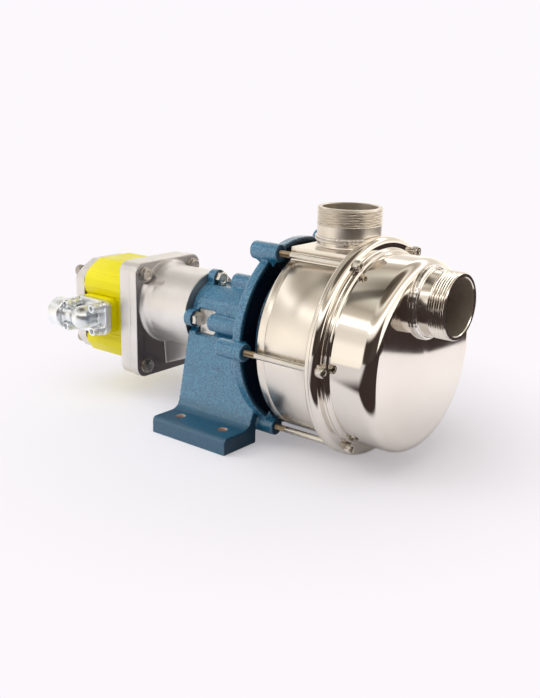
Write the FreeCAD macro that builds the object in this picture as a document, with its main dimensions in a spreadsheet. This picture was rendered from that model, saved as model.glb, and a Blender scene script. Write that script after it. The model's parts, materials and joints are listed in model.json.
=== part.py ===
import FreeCAD, Part
import math
import os
import Sketcher

# Self-priming pump with a hydraulic gear motor, in millimetres.
# +X runs along the shaft towards the suction port, +Z is up, and the origin is the centre of the
# foot's bolt pattern on the base plane. Sections of turned pieces are given as (x, radius).

SIZES = {
    # shaft and foot
    "shaft_height": 103.0,
    "foot_length": 95.0,
    "foot_half_width": 102.0,
    "foot_thickness": 16.5,
    "foot_pad_width": 46.0,
    "foot_hole_spacing_x": 55.0,
    "foot_hole_inset": 19.5,
    "foot_hole_radius": 4.5,
    "leg_thickness": 11.0,
    "leg_top_drop": 14.0,
    # cast bracket
    "nose_start": -60.0,
    "nose_flange_thickness": 10.0,
    "barrel_radius": 33.0,
    "disc_start": 46.0,
    "disc_thickness": 10.0,
    "disc_step": 10.0,
    "rim_width": 8.0,
    "spigot_outer_radius": 70.0,
    "spigot_inner_radius": 58.0,
    "lug_radius": 8.5,
    "lug_start": 36.0,
    "lug_length": 31.0,
    "tie_circle_inset": 5.5,
    "boss_radius": 9.0,
    "boss_circle_radius": 36.0,
    "pocket_length": 22.0,
    "pocket_floor": 29.0,
    # stainless casing and cover
    "casing_gap": 16.5,
    "casing_depth": 67.5,
    "sheet": 3.0,
    "flange_radius": 102.0,
    "flange_width": 12.0,
    "casing_flange_thickness": 5.0,
    "cover_flange_thickness": 5.4,
    "bolt_seat_height": 7.0,
    "cover_rim_height": 12.5,
    "cover_depth": 54.0,
    "cover_step": 1.5,
    "cover_edge_radius": 12.0,
    "hub_hole_radius": 19.5,
    # ports with a 2 inch pipe thread
    "port_thread_radius": 29.8,
    "port_bore_radius": 25.5,
    "port_thread_length": 16.0,
    "port_length": 30.0,
    "suction_weld": 3.5,
    "discharge_weld": 1.6,
    "suction_inset": 36.9,
    "discharge_x": 107.0,
    "saddle_lift": 0.5,
    "saddle_gap": 1.25,
    "collar_length": 5.5,
    # tie bolts and screws
    "tie_bolt_radius": 3.0,
    "tie_bolt_thread_depth": 22.0,
    "screw_head_radius": 5.0,
    "flange_bolt_radius": 4.0,
    "flange_bolt_head": 5.3,
    # pump shaft and bearings
    "bearing_bore_radius": 12.5,
    "bearing_outer_radius": 26.0,
    "bearing_width": 15.0,
    "front_bearing_inset": 18.0,
    "rear_bearing_inset": 8.0,
    "ball_radius": 3.95,
    "seal_shaft_radius": 10.0,
    "coupled_shaft_radius": 9.5,
    "impeller_shaft_radius": 8.0,
    "nut_thread_radius": 6.0,
    "nut_across_flats": 19.0,
    "key_width": 5.0,
    "sleeve_radius": 22.0,
    # impeller and diffuser
    "impeller_radius": 62.0,
    "impeller_inset": 25.5,
    "impeller_hub_step": 2.0,
    "shroud_thickness": 3.0,
    "vane_height": 10.0,
    "vane_thickness": 4.0,
    "hub_radius": 16.0,
    "diffuser_thickness": 4.0,
    "eye_radius": 23.0,
    # adapter between bracket and motor
    "adapter_radius": 41.5,
    "adapter_bore_radius": 28.0,
    "adapter_length": 75.0,
    "adapter_flange_thickness": 11.0,
    "adapter_box_length": 36.0,
    "adapter_box_rise": 34.0,
    "flange_half_width": 48.5,
    "flange_top": 47.0,
    "flange_bottom": 78.0,
    "flange_corner_radius": 12.0,
    "motor_bolt_y": 36.0,
    "motor_bolt_top": 34.5,
    "motor_bolt_bottom": 65.5,
    "pilot_radius": 40.0,
    "pilot_depth": 6.0,
    # gear motor
    "motor_flange_thickness": 16.0,
    "body_length": 59.0,
    "body_half_width": 46.0,
    "body_waist": 42.0,
    "body_top": 39.0,
    "rear_cover_thickness": 16.0,
    "gear_centre_distance": 31.0,
    "gear_width": 29.0,
    "motor_screw_y": 32.0,
    "motor_screw_rise": 23.0,
    "gear_shaft_radius": 9.0,
    "port_pad_height": 11.0,
    "port_pad_length": 48.0,
    "port_pad_width": 38.0,
    "port_pad_corner": 7.0,
    "motor_port_radius": 8.0,
    "elbow_flange_thickness": 9.0,
    "elbow_reach": 24.0,
    "elbow_socket_radius": 9.3,
    "elbow_socket_depth": 16.0,
    "elbow_collar_radius": 16.5,
    "elbow_collar_length": 20.0,
    "elbow_overhang": 6.0,
    "elbow_screw_x": 42.0,
    "elbow_screw_z": 26.5,
    # clearances
    "fit_gap": 0.05,
    "seal_gap": 0.1,
    "running_gap": 0.5,
}
TIE_BOLT_COUNT = 6
NOSE_BOLT_COUNT = 4
VANE_COUNT = 6
GEAR_TEETH = 12
BALL_COUNT = 8

document = FreeCAD.newDocument("self_priming_pump")
sheet = document.addObject("Spreadsheet::Sheet", "Sizes")
for row, (alias, value) in enumerate(SIZES.items(), start=1):
    sheet.set(f"A{row}", alias)
    sheet.set(f"B{row}", str(value))
    sheet.setAlias(f"B{row}", alias)
document.recompute()

X_AXIS = FreeCAD.Vector(1, 0, 0)
Y_AXIS = FreeCAD.Vector(0, 1, 0)
Z_AXIS = FreeCAD.Vector(0, 0, 1)
PARTS = []


class Size:
    """A length together with the sheet expression that gives it."""

    def __init__(self, value, text):
        self.value = value
        self.text = text

    def join(self, other, sign, value):
        return Size(value, f"({self.text} {sign} {as_size(other).text})")

    def __add__(self, other):
        return self.join(other, "+", self.value + as_size(other).value)

    def __sub__(self, other):
        return self.join(other, "-", self.value - as_size(other).value)

    def __mul__(self, other):
        return self.join(other, "*", self.value * as_size(other).value)

    def __truediv__(self, other):
        return self.join(other, "/", self.value / as_size(other).value)

    def __neg__(self):
        return Size(-self.value, f"(0 - {self.text})")

    def __radd__(self, other):
        return as_size(other) + self

    def __rsub__(self, other):
        return as_size(other) - self

    def __rmul__(self, other):
        return as_size(other) * self


def as_size(value):
    """A Size as it is, or a plain number as a Size."""
    return value if isinstance(value, Size) else Size(float(value), repr(float(value)))


def size(alias):
    """The driving dimension with this name."""
    return Size(SIZES[alias], f"Sizes.{alias}")


def at_angle(radius, degrees):
    """The two coordinates of a point on a circle, at an angle from the first axis."""
    across = Size(radius.value * math.cos(math.radians(degrees)), f"({radius.text} * cos({degrees} deg))")
    up = Size(radius.value * math.sin(math.radians(degrees)), f"({radius.text} * sin({degrees} deg))")
    return across, up


def bind(item, path, value):
    """Tie one property of an object to a sheet expression."""
    item.setExpression(path, as_size(value).text)


def place(item, x=0, y=0, z=0, rotation=None):
    """Put an object at a point that follows the sheet."""
    point = [as_size(x), as_size(y), as_size(z)]
    item.Placement = FreeCAD.Placement(
        FreeCAD.Vector(*[part.value for part in point]), rotation or FreeCAD.Rotation()
    )
    for axis, part in zip("xyz", point):
        bind(item, f"Placement.Base.{axis}", part)
    return item


def name_part(item, label):
    """Give a finished sub-part its label, which also names its file."""
    item.Label = label
    PARTS.append(item)
    return item


# Bodies, sketches and features


def new_body(name):
    return document.addObject("PartDesign::Body", name)


def attached_sketch(body, role, offset=None):
    """A sketch on one of the body's own origin planes, moved along the plane's normal."""
    plane = [item for item in body.Origin.OriginFeatures if item.Role == role][0]
    sketch = body.newObject("Sketcher::SketchObject", "Sketch")
    sketch.AttachmentSupport = [(plane, "")]
    sketch.MapMode = "FlatFace"
    if offset is not None:
        move = as_size(offset)
        sketch.AttachmentOffset = FreeCAD.Placement(FreeCAD.Vector(0, 0, move.value), FreeCAD.Rotation())
        bind(sketch, "AttachmentOffset.Base.z", move)
    return sketch


def fix_point(sketch, geometry, end, point):
    """Hold one end of a sketch line at a point that follows the sheet."""
    for kind, part in zip(("DistanceX", "DistanceY"), point):
        part = as_size(part)
        index = sketch.addConstraint(Sketcher.Constraint(kind, -1, 1, geometry, end, part.value))
        bind(sketch, f"Constraints[{index}]", part)


def outline(body, role, points, offset=None):
    """A closed outline of straight lines through points that follow the sheet."""
    sketch = attached_sketch(body, role, offset)
    ends = [FreeCAD.Vector(as_size(across).value, as_size(up).value, 0) for across, up in points]
    count = len(ends)
    for index in range(count):
        sketch.addGeometry(Part.LineSegment(ends[index], ends[(index + 1) % count]))
    for index in range(count):
        sketch.addConstraint(Sketcher.Constraint("Coincident", index, 2, (index + 1) % count, 1))
        fix_point(sketch, index, 1, points[index])
    return sketch


def circles(body, role, rings, offset=None):
    """Circles given as (across, up, radius) that follow the sheet."""
    sketch = attached_sketch(body, role, offset)
    for index, (across, up, radius) in enumerate(rings):
        centre = FreeCAD.Vector(as_size(across).value, as_size(up).value, 0)
        sketch.addGeometry(Part.Circle(centre, Z_AXIS, as_size(radius).value))
        place_in_list = sketch.addConstraint(
            Sketcher.Constraint("Radius", index, as_size(radius).value)
        )
        bind(sketch, f"Constraints[{place_in_list}]", radius)
        fix_point(sketch, index, 3, (across, up))
    return sketch


def revolve(body, points, cut=False):
    """Turn an (x, radius) outline about the body's own X axis."""
    kind = "PartDesign::Groove" if cut else "PartDesign::Revolution"
    feature = body.newObject(kind, "Turned")
    feature.Profile = outline(body, "XY_Plane", points)
    feature.ReferenceAxis = (feature.Profile[0], ["H_Axis"])
    feature.Angle = 360
    return feature


def pad(body, sketch, length, midplane=False, backwards=False):
    feature = body.newObject("PartDesign::Pad", "Pad")
    feature.Profile = sketch
    feature.Length = as_size(length).value
    bind(feature, "Length", length)
    if midplane:
        feature.SideType = "Symmetric"
    feature.Reversed = backwards
    return feature


def pocket(body, sketch, length, midplane=False, backwards=False):
    feature = body.newObject("PartDesign::Pocket", "Pocket")
    feature.Profile = sketch
    feature.Length = as_size(length).value
    bind(feature, "Length", length)
    if midplane:
        feature.SideType = "Symmetric"
    feature.Reversed = backwards
    return feature


def around_shaft(body, features, count):
    """Repeat features evenly about the body's own X axis."""
    pattern = body.newObject("PartDesign::PolarPattern", "Around")
    pattern.Originals = features
    axis = [item for item in body.Origin.OriginFeatures if item.Role == "X_Axis"][0]
    pattern.Axis = (axis, [""])
    pattern.Angle = 360
    pattern.Occurrences = count
    body.Tip = pattern
    return pattern


def round_edges(body, radius, wanted):
    """Fillet the edges of the body that a test picks."""
    document.recompute()
    base = body.Tip
    names = [f"Edge{number}" for number, edge in enumerate(base.Shape.Edges, start=1) if wanted(edge)]
    fillet = body.newObject("PartDesign::Fillet", "Rounded")
    fillet.Base = (base, names)
    fillet.Radius = as_size(radius).value
    bind(fillet, "Radius", radius)
    document.recompute()
    return fillet


def near(value, target, slack=0.01):
    return abs(value - as_size(target).value) < slack


def ring_at(x, radius):
    """A test for the circular edge about the X axis at this place and radius."""

    def wanted(edge):
        curve = edge.Curve
        if not isinstance(curve, Part.Circle) or abs(curve.Axis.x) < 0.99:
            return False
        on_axis = math.hypot(curve.Center.y, curve.Center.z) < 0.01
        return on_axis and near(curve.Center.x, x) and near(curve.Radius, radius)

    return wanted


def along_x_at(y, z):
    """A test for a straight edge along X through this point."""

    def wanted(edge):
        first, last = edge.Vertexes[0].Point, edge.Vertexes[-1].Point
        level = abs(first.y - last.y) < 0.01 and abs(first.z - last.z) < 0.01
        return level and near(first.y, y) and near(first.z, z)

    return wanted


def along_y(edge):
    """Whether an edge is straight and runs along Y."""
    first, last = edge.Vertexes[0].Point, edge.Vertexes[-1].Point
    return abs(first.y - last.y) > 1 and near(first.x, last.x) and near(first.z, last.z)


def any_of(*tests):
    return lambda edge: any(test(edge) for test in tests)


# Plain solids and what joins them


def cylinder(x, y, z, radius, length, axis="x"):
    """A cylinder that starts at a point and runs along +X, +Y or +Z."""
    item = document.addObject("Part::Cylinder", "Cylinder")
    turned = {
        "x": FreeCAD.Rotation(Y_AXIS, 90),
        "y": FreeCAD.Rotation(X_AXIS, -90),
        "z": FreeCAD.Rotation(),
    }[axis]
    item.Radius = as_size(radius).value
    item.Height = as_size(length).value
    bind(item, "Radius", radius)
    bind(item, "Height", length)
    return place(item, x, y, z, turned)


def box(low, high):
    """A box between two corners."""
    item = document.addObject("Part::Box", "Box")
    for path, first, last in zip(("Length", "Width", "Height"), low, high):
        setattr(item, path, (as_size(last) - as_size(first)).value)
        bind(item, path, as_size(last) - as_size(first))
    return place(item, *low)


def sphere(x, y, z, radius):
    item = document.addObject("Part::Sphere", "Ball")
    item.Radius = as_size(radius).value
    bind(item, "Radius", radius)
    return place(item, x, y, z)


def hexagon(x, y, z, across_flats, length, turn=0):
    """A six-sided prism along +X."""
    item = document.addObject("Part::Prism", "Hexagon")
    item.Polygon = 6
    corner = as_size(across_flats) / math.sqrt(3)
    item.Circumradius = corner.value
    item.Height = as_size(length).value
    bind(item, "Circumradius", corner)
    bind(item, "Height", length)
    turned = FreeCAD.Rotation(Y_AXIS, 90) * FreeCAD.Rotation(Z_AXIS, turn)
    return place(item, x, y, z, turned)


def fuse(items):
    item = document.addObject("Part::MultiFuse", "Joined")
    item.Shapes = items
    item.Refine = True
    return item


def group(items):
    """Separate solids that make one sub-part."""
    item = document.addObject("Part::Compound", "Set")
    item.Links = items
    return item


def cut(base, tools):
    item = document.addObject("Part::Cut", "Cut")
    item.Base = base
    item.Tool = tools[0] if len(tools) == 1 else group(tools)
    item.Refine = True
    return item


shaft_height = size("shaft_height")
fit_gap = size("fit_gap")
seal_gap = size("seal_gap")
running_gap = size("running_gap")
flange_radius = size("flange_radius")
casing_radius = flange_radius - size("flange_width")
cover_radius = casing_radius - size("cover_step")
suction_rise = cover_radius - size("suction_inset")
saddle_top = casing_radius + size("saddle_lift")
sheet_thickness = size("sheet")
tie_circle = flange_radius - size("tie_circle_inset")
tie_radius = size("tie_bolt_radius")
saddle_half = tie_circle / 2 - tie_radius - size("saddle_gap")
port_bore = size("port_bore_radius")
thread_radius = size("port_thread_radius")
discharge_x = size("discharge_x")
nose_start = size("nose_start")
nose_inside = nose_start + size("nose_flange_thickness")
disc_start = size("disc_start")
disc_end = disc_start + size("disc_thickness")
casing_start = disc_end + size("casing_gap")
joint_plane = casing_start + size("casing_depth")
flange_start = joint_plane - size("casing_flange_thickness")
cover_rim_front = joint_plane + size("cover_flange_thickness")
bolt_seat = joint_plane + size("bolt_seat_height")
cover_wall_start = joint_plane + size("cover_rim_height")
cover_front = joint_plane + size("cover_depth")
impeller_start = casing_start + size("impeller_inset")
impeller_back = impeller_start + size("impeller_hub_step")
lug_start = size("lug_start")
lug_end = lug_start + size("lug_length")
bearing_radius = size("bearing_outer_radius")
bearing_bore = size("bearing_bore_radius")
bearing_width = size("bearing_width")
front_bearing = disc_start - size("front_bearing_inset")
rear_bearing = nose_start + size("rear_bearing_inset")
flange_bolt = size("flange_bolt_radius")
bolt_head = size("flange_bolt_head")
adapter_end = nose_start - size("adapter_length")
adapter_flange_front = adapter_end + size("adapter_flange_thickness")
motor_flange_end = adapter_end - size("motor_flange_thickness")
body_end = motor_flange_end - size("body_length")
motor_end = body_end - size("rear_cover_thickness")
elbow_end = motor_end - size("elbow_overhang")
gear_distance = size("gear_centre_distance")
gear_shaft = size("gear_shaft_radius")
body_middle = motor_flange_end - size("body_length") / 2
port_level = -gear_distance / 2
pad_middle = body_middle - 3.0
pad_face = size("body_waist") + size("port_pad_height")
elbow_face = pad_face + size("elbow_flange_thickness")
elbow_axis = pad_face + size("elbow_reach")
EDGE = 1.2
ROOT_SHARE = 0.3
BORE_STEP = 3.0
HOLE_PLAY = 0.5
BOLT_ROOM = 9.5


def bearing_bracket():
    """Cast foot bracket: barrel, disc with six tie-bolt lugs, four nose bosses and two legs."""
    barrel = size("barrel_radius")
    disc = flange_radius - size("disc_step")
    rim = size("rim_width")
    spigot_out, spigot_in = size("spigot_outer_radius"), size("spigot_inner_radius")
    seat = bearing_radius + fit_gap
    through = bearing_radius - BORE_STEP
    seal_bore = bearing_radius - 2 * BORE_STEP + fit_gap
    casting = new_body("Casting")
    revolve(casting, [
        (nose_start, seat),
        (nose_start, barrel),
        (disc_start + 2, barrel),
        (disc_start + 2, disc - rim),
        (disc_start, disc - rim),
        (disc_start, disc),
        (disc_end, disc),
        (disc_end, spigot_out),
        (casing_start, spigot_out),
        (casing_start, spigot_in),
        (disc_end, spigot_in),
        (disc_end, seal_bore),
        (disc_start - BORE_STEP + 1, seal_bore),
        (disc_start - BORE_STEP + 1, seat),
        (front_bearing, seat),
        (front_bearing, through),
        (rear_bearing + bearing_width, through),
        (rear_bearing + bearing_width, seat),
    ])
    round_edges(casting, EDGE, any_of(ring_at(disc_start, disc), ring_at(disc_end, disc)))
    lug = pad(casting, circles(casting, "YZ_Plane", [(tie_circle, 0, size("lug_radius"))], lug_start),
              size("lug_length"))
    web = pad(casting, outline(casting, "XY_Plane", [
        (lug_start + 1, tie_circle),
        (lug_start + 4, disc - 3),
        (disc_start - 1, disc - rim - 2),
        (disc_start + 3, disc - rim - 2),
        (disc_end, disc - rim - 2),
        (disc_end + 4, disc - rim + 3),
        (lug_end - 2, disc - 1),
        (lug_end - 1, tie_circle),
    ]), size("lug_radius") * 1.5, midplane=True)
    around_shaft(casting, [lug, web], TIE_BOLT_COUNT)
    boss = pad(casting, circles(casting, "YZ_Plane",
                                [(size("boss_circle_radius"), 0, size("boss_radius"))], nose_start),
               disc_start + 3 - nose_start)
    around_shaft(casting, [boss], NOSE_BOLT_COUNT)
    place(casting, z=shaft_height)

    legs = [foot_leg(-1), foot_leg(1)]
    floor = size("pocket_floor")
    pocket_end = nose_inside + size("pocket_length")
    reach = size("foot_half_width")
    tools = []
    for side in (-1, 1):
        near_edge, far_edge = (floor, reach) if side > 0 else (-reach, -floor)
        tools.append(box((nose_inside, near_edge, shaft_height - 16),
                         (pocket_end, far_edge, shaft_height + 10)))
        height = shaft_height + (floor if side > 0 else -(floor + 2 * size("boss_radius")))
        tools.append(box((nose_inside, -10, height), (pocket_end, 10, height + 2 * size("boss_radius"))))
    hole_y = size("foot_half_width") - size("foot_hole_inset")
    hole_x = size("foot_hole_spacing_x") / 2
    for across in (-hole_x, hole_x):
        for side in (-hole_y, hole_y):
            tools.append(cylinder(across, side, -1, size("foot_hole_radius"),
                                  2 * size("foot_thickness"), "z"))
    for number in range(NOSE_BOLT_COUNT):
        y, z = at_angle(size("boss_circle_radius"), 90 * number)
        tools.append(cylinder(nose_start - 1, y, shaft_height + z, flange_bolt + HOLE_PLAY,
                              nose_inside - nose_start + 2))
    for number in range(TIE_BOLT_COUNT):
        y, z = at_angle(tie_circle, 60 * number)
        tools.append(cylinder(lug_start - 1, y, shaft_height + z, tie_radius + fit_gap,
                              size("lug_length") + 2))
    bore = new_body("Barrel_bore")
    revolve(bore, [
        (nose_start - 1, 0),
        (nose_start - 1, seat),
        (rear_bearing + bearing_width, seat),
        (rear_bearing + bearing_width, through),
        (front_bearing, through),
        (front_bearing, seat),
        (disc_start - BORE_STEP + 1, seat),
        (disc_start - BORE_STEP + 1, seal_bore),
        (disc_end + 1, seal_bore),
        (disc_end + 1, 0),
    ])
    place(bore, z=shaft_height)
    tools.append(bore)
    name_part(cut(fuse([casting] + legs), tools), "bearing_bracket")


def foot_leg(side):
    """One flared leg with its foot pad, as a section across the shaft run along it."""
    half = size("foot_half_width")
    inner = half - size("foot_pad_width")
    top = size("foot_thickness")
    thickness = size("leg_thickness")
    shoulder = shaft_height - size("leg_top_drop")
    barrel = size("barrel_radius")
    leg = new_body("Leg")
    points = [
        (half, 0),
        (half, top),
        (inner + thickness, top),
        (barrel + 4, shoulder),
        (barrel - 8, shoulder + 8),
        (barrel - 9, shoulder - 8),
        (inner, top + 4),
        (inner, 0),
    ]
    pad(leg, outline(leg, "YZ_Plane", [(side * y, z) for y, z in points], nose_start),
        size("foot_length") / 2 - nose_start)
    heel = -size("foot_length") / 2
    behind = nose_start - 1
    pocket(leg, outline(leg, "XZ_Plane", [
        (behind, -1),
        (heel, -1),
        (heel, top + 3),
        (nose_start, shoulder + 2),
        (behind, shoulder + 2),
    ]), 3 * half, midplane=True)
    round_edges(leg, 12.0, along_x_at(side * (inner + thickness), top))
    round_edges(leg, 4.0, along_x_at(side * half, top))
    return leg


def rear_casing():
    """Drawn casing with its closed rear head, seal hub, front flange and O-ring groove."""
    inner = casing_radius - sheet_thickness
    hub = size("hub_hole_radius")
    thickness = size("casing_flange_thickness")
    rim_round, root_round = thickness * 0.48, thickness * ROOT_SHARE
    rear_inside = casing_start + sheet_thickness
    casing = new_body("Casing")
    revolve(casing, [
        (casing_start, hub),
        (casing_start, casing_radius),
        (flange_start, casing_radius),
        (flange_start, flange_radius),
        (joint_plane, flange_radius),
        (joint_plane, inner + 4),
        (joint_plane - sheet_thickness, inner + 4),
        (joint_plane - sheet_thickness, inner),
        (rear_inside, inner),
        (rear_inside, hub + sheet_thickness),
        (rear_inside + sheet_thickness * 2, hub + sheet_thickness),
        (rear_inside + sheet_thickness * 2, hub),
    ])
    round_edges(casing, 6.0, ring_at(casing_start, casing_radius))
    round_edges(casing, rim_round, ring_at(flange_start, flange_radius))
    round_edges(casing, root_round, ring_at(flange_start, casing_radius))
    pocket(casing, circles(casing, "XY_Plane", [(discharge_x, 0, port_bore)], casing_radius * 0.7),
           casing_radius, backwards=True)
    holes = pocket(casing, circles(casing, "YZ_Plane", [(tie_circle, 0, tie_radius + 0.3)],
                                   flange_start - 1), joint_plane - flange_start + 2,
                   backwards=True)
    around_shaft(casing, [holes], TIE_BOLT_COUNT)
    place(casing, z=shaft_height)
    relief = cylinder(discharge_x, 0, shaft_height + casing_radius + 0.7, thread_radius + 1.4,
                      casing_radius, "z")
    name_part(cut(casing, [relief]), "rear_casing")


def front_cover():
    """Pressed cover with a stepped rim, a drafted wall and a large front edge radius."""
    outer = cover_radius
    inner = outer - sheet_thickness
    front = cover_front
    step = flange_radius - 4.6
    bead = casing_radius + 1
    cover = new_body("Cover")
    revolve(cover, [
        (joint_plane, casing_radius - sheet_thickness),
        (joint_plane, flange_radius),
        (cover_rim_front, flange_radius),
        (cover_rim_front, step),
        (bolt_seat, step),
        (bolt_seat, bead),
        (bolt_seat + 3.4, bead),
        (bolt_seat + 3.4, bead - 1.2),
        (cover_wall_start, bead - 1.2),
        (cover_wall_start, outer + 0.5),
        (front, outer),
        (front, 0),
        (front - sheet_thickness, 0),
        (front - sheet_thickness, inner),
    ])
    round_edges(cover, size("cover_edge_radius"), ring_at(front, outer))
    round_edges(cover, size("cover_edge_radius") - sheet_thickness, ring_at(front - sheet_thickness, inner))
    round_edges(cover, 2.4, ring_at(cover_rim_front, flange_radius))
    round_edges(cover, 1.0, any_of(ring_at(bolt_seat, step), ring_at(bolt_seat + 3.4, bead)))
    pocket(cover, circles(cover, "YZ_Plane", [(0, suction_rise, port_bore)],
                          front - 2 * sheet_thickness), 3 * sheet_thickness, backwards=True)
    holes = pocket(cover, circles(cover, "YZ_Plane", [(tie_circle, 0, tie_radius + 0.3)], joint_plane - 1),
                   bolt_seat - joint_plane + 2, backwards=True)
    around_shaft(cover, [holes], TIE_BOLT_COUNT)
    place(cover, z=shaft_height)
    name_part(cover, "front_cover")


def port_nipple(label, weld):
    """Pipe end with a male thread, welded at its foot; it is turned about its own X axis."""
    length = size("port_length")
    plain = thread_radius - 0.5
    thread_start = length - size("port_thread_length")
    nipple = new_body("Nipple")
    revolve(nipple, [
        (0, port_bore),
        (0, plain + weld),
        (weld * 0.6, plain + weld),
        (weld * 2, plain),
        (thread_start, plain),
        (thread_start, thread_radius),
        (length - 0.8, thread_radius),
        (length, thread_radius - 0.8),
        (length, port_bore),
    ])
    return name_part(nipple, label)


def ports():
    """The suction port on the front face and the discharge port on top."""
    suction = port_nipple("suction_nipple", size("suction_weld"))
    place(suction, cover_front, 0, shaft_height + suction_rise)
    upright = FreeCAD.Rotation(Y_AXIS, -90)
    foot = shaft_height + saddle_top + size("collar_length")
    discharge = port_nipple("discharge_nipple", size("discharge_weld"))
    place(discharge, discharge_x, 0, foot, upright)


def saddle_plate():
    """Flat saddle welded on the casing's crown, with the drawn collar of the discharge port."""
    top = saddle_top
    half = saddle_half
    rear, front = casing_start + 2.5, flange_start - 0.3
    depth = casing_radius * 0.7
    neck = thread_radius - 1
    plate = new_body("Saddle_plate")
    corners = [(rear, -half), (rear, half), (front, half), (front, -half)]
    pad(plate, outline(plate, "XY_Plane", corners, depth), top - depth)
    place(plate, z=shaft_height)
    collar = new_body("Saddle_collar")
    revolve(collar, [
        (top - 1, 0),
        (top - 1, neck + 1.2),
        (top, neck + 1.2),
        (top + 0.5, neck + 0.5),
        (top + 1.5, neck),
        (top + size("collar_length"), neck),
        (top + size("collar_length"), 0),
    ])
    place(collar, discharge_x, 0, shaft_height, FreeCAD.Rotation(Y_AXIS, -90))
    root = size("casing_flange_thickness") * ROOT_SHARE + 0.1
    tools = [
        cylinder(casing_start, 0, shaft_height, casing_radius, joint_plane - casing_start),
        cylinder(flange_start - root, 0, shaft_height, casing_radius + root, root),
        cylinder(discharge_x, 0, shaft_height, port_bore, casing_radius + 20, "z"),
        box((front, -half, shaft_height), (joint_plane, half, shaft_height + top + 20)),
    ]
    name_part(cut(fuse([plate, collar]), tools), "saddle_plate")


def casing_gasket():
    """O-ring in the groove between the two flanges."""
    ring = document.addObject("Part::Torus", "Ring")
    section = sheet_thickness / 2 - fit_gap
    middle = casing_radius - sheet_thickness + 2
    ring.Radius1 = middle.value
    ring.Radius2 = section.value
    bind(ring, "Radius1", middle)
    bind(ring, "Radius2", section)
    place(ring, joint_plane - sheet_thickness / 2, 0, shaft_height, FreeCAD.Rotation(Y_AXIS, 90))
    name_part(ring, "casing_gasket")


def socket_screw(x, y, z, radius, head_radius, head, shank, direction=1):
    """A hexagon socket screw along X; its shank runs from the head against the direction."""
    if direction > 0:
        low, shank_low = x, x - shank
        socket = x + head * 0.4
    else:
        low, shank_low = x - head, x
        socket = x - head - 0.01
    body = fuse([cylinder(low, y, z, head_radius, head), cylinder(shank_low, y, z, radius, shank)])
    return cut(body, [hexagon(socket, y, z, head_radius, head * 0.6 + 0.01)])


def tie_bolts():
    """Six long socket screws from the cover's rim into the bracket's lugs."""
    head = 2 * tie_radius
    screws = []
    for number in range(TIE_BOLT_COUNT):
        y, z = at_angle(tie_circle, 60 * number)
        length = bolt_seat - lug_end + size("tie_bolt_thread_depth")
        screws.append(socket_screw(bolt_seat, y, shaft_height + z, tie_radius,
                                   size("screw_head_radius"), head, length))
    name_part(group(screws), "tie_bolts")


def hex_bolt(x, y, z, shank, turn=0):
    """A hexagon head bolt whose head faces +X and whose shank runs towards -X."""
    flats = 13.0 / 8.0 * 2 * flange_bolt
    return fuse([hexagon(x, y, z, flats, bolt_head, turn), cylinder(x - shank, y, z, flange_bolt, shank)])


def flange_bolts():
    """Four bolts through the bracket's nose and four through the adapter's square flange."""
    nose = []
    for number in range(NOSE_BOLT_COUNT):
        y, z = at_angle(size("boss_circle_radius"), 90 * number)
        nose.append(hex_bolt(nose_inside, y, shaft_height + z, size("nose_flange_thickness") + 14,
                             turn=30 * (number % 2)))
    name_part(group(nose), "nose_bolts")
    rear = []
    for side in (-size("motor_bolt_y"), size("motor_bolt_y")):
        for rise in (size("motor_bolt_top"), -size("motor_bolt_bottom")):
            rear.append(hex_bolt(adapter_flange_front, side, shaft_height + rise,
                                 size("adapter_flange_thickness") + size("motor_flange_thickness") - 2))
    name_part(group(rear), "motor_bolts")


def flange_plate(body, low, length, half, top, bottom):
    """A rounded rectangular flange plate across the shaft."""
    pad(body, outline(body, "YZ_Plane", [(-half, top), (half, top), (half, -bottom), (-half, -bottom)], low),
        length)


def flange_corner(half, top, bottom):
    return any_of(*[along_x_at(side * half, rise) for side in (-1, 1) for rise in (top, -bottom)])


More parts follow.
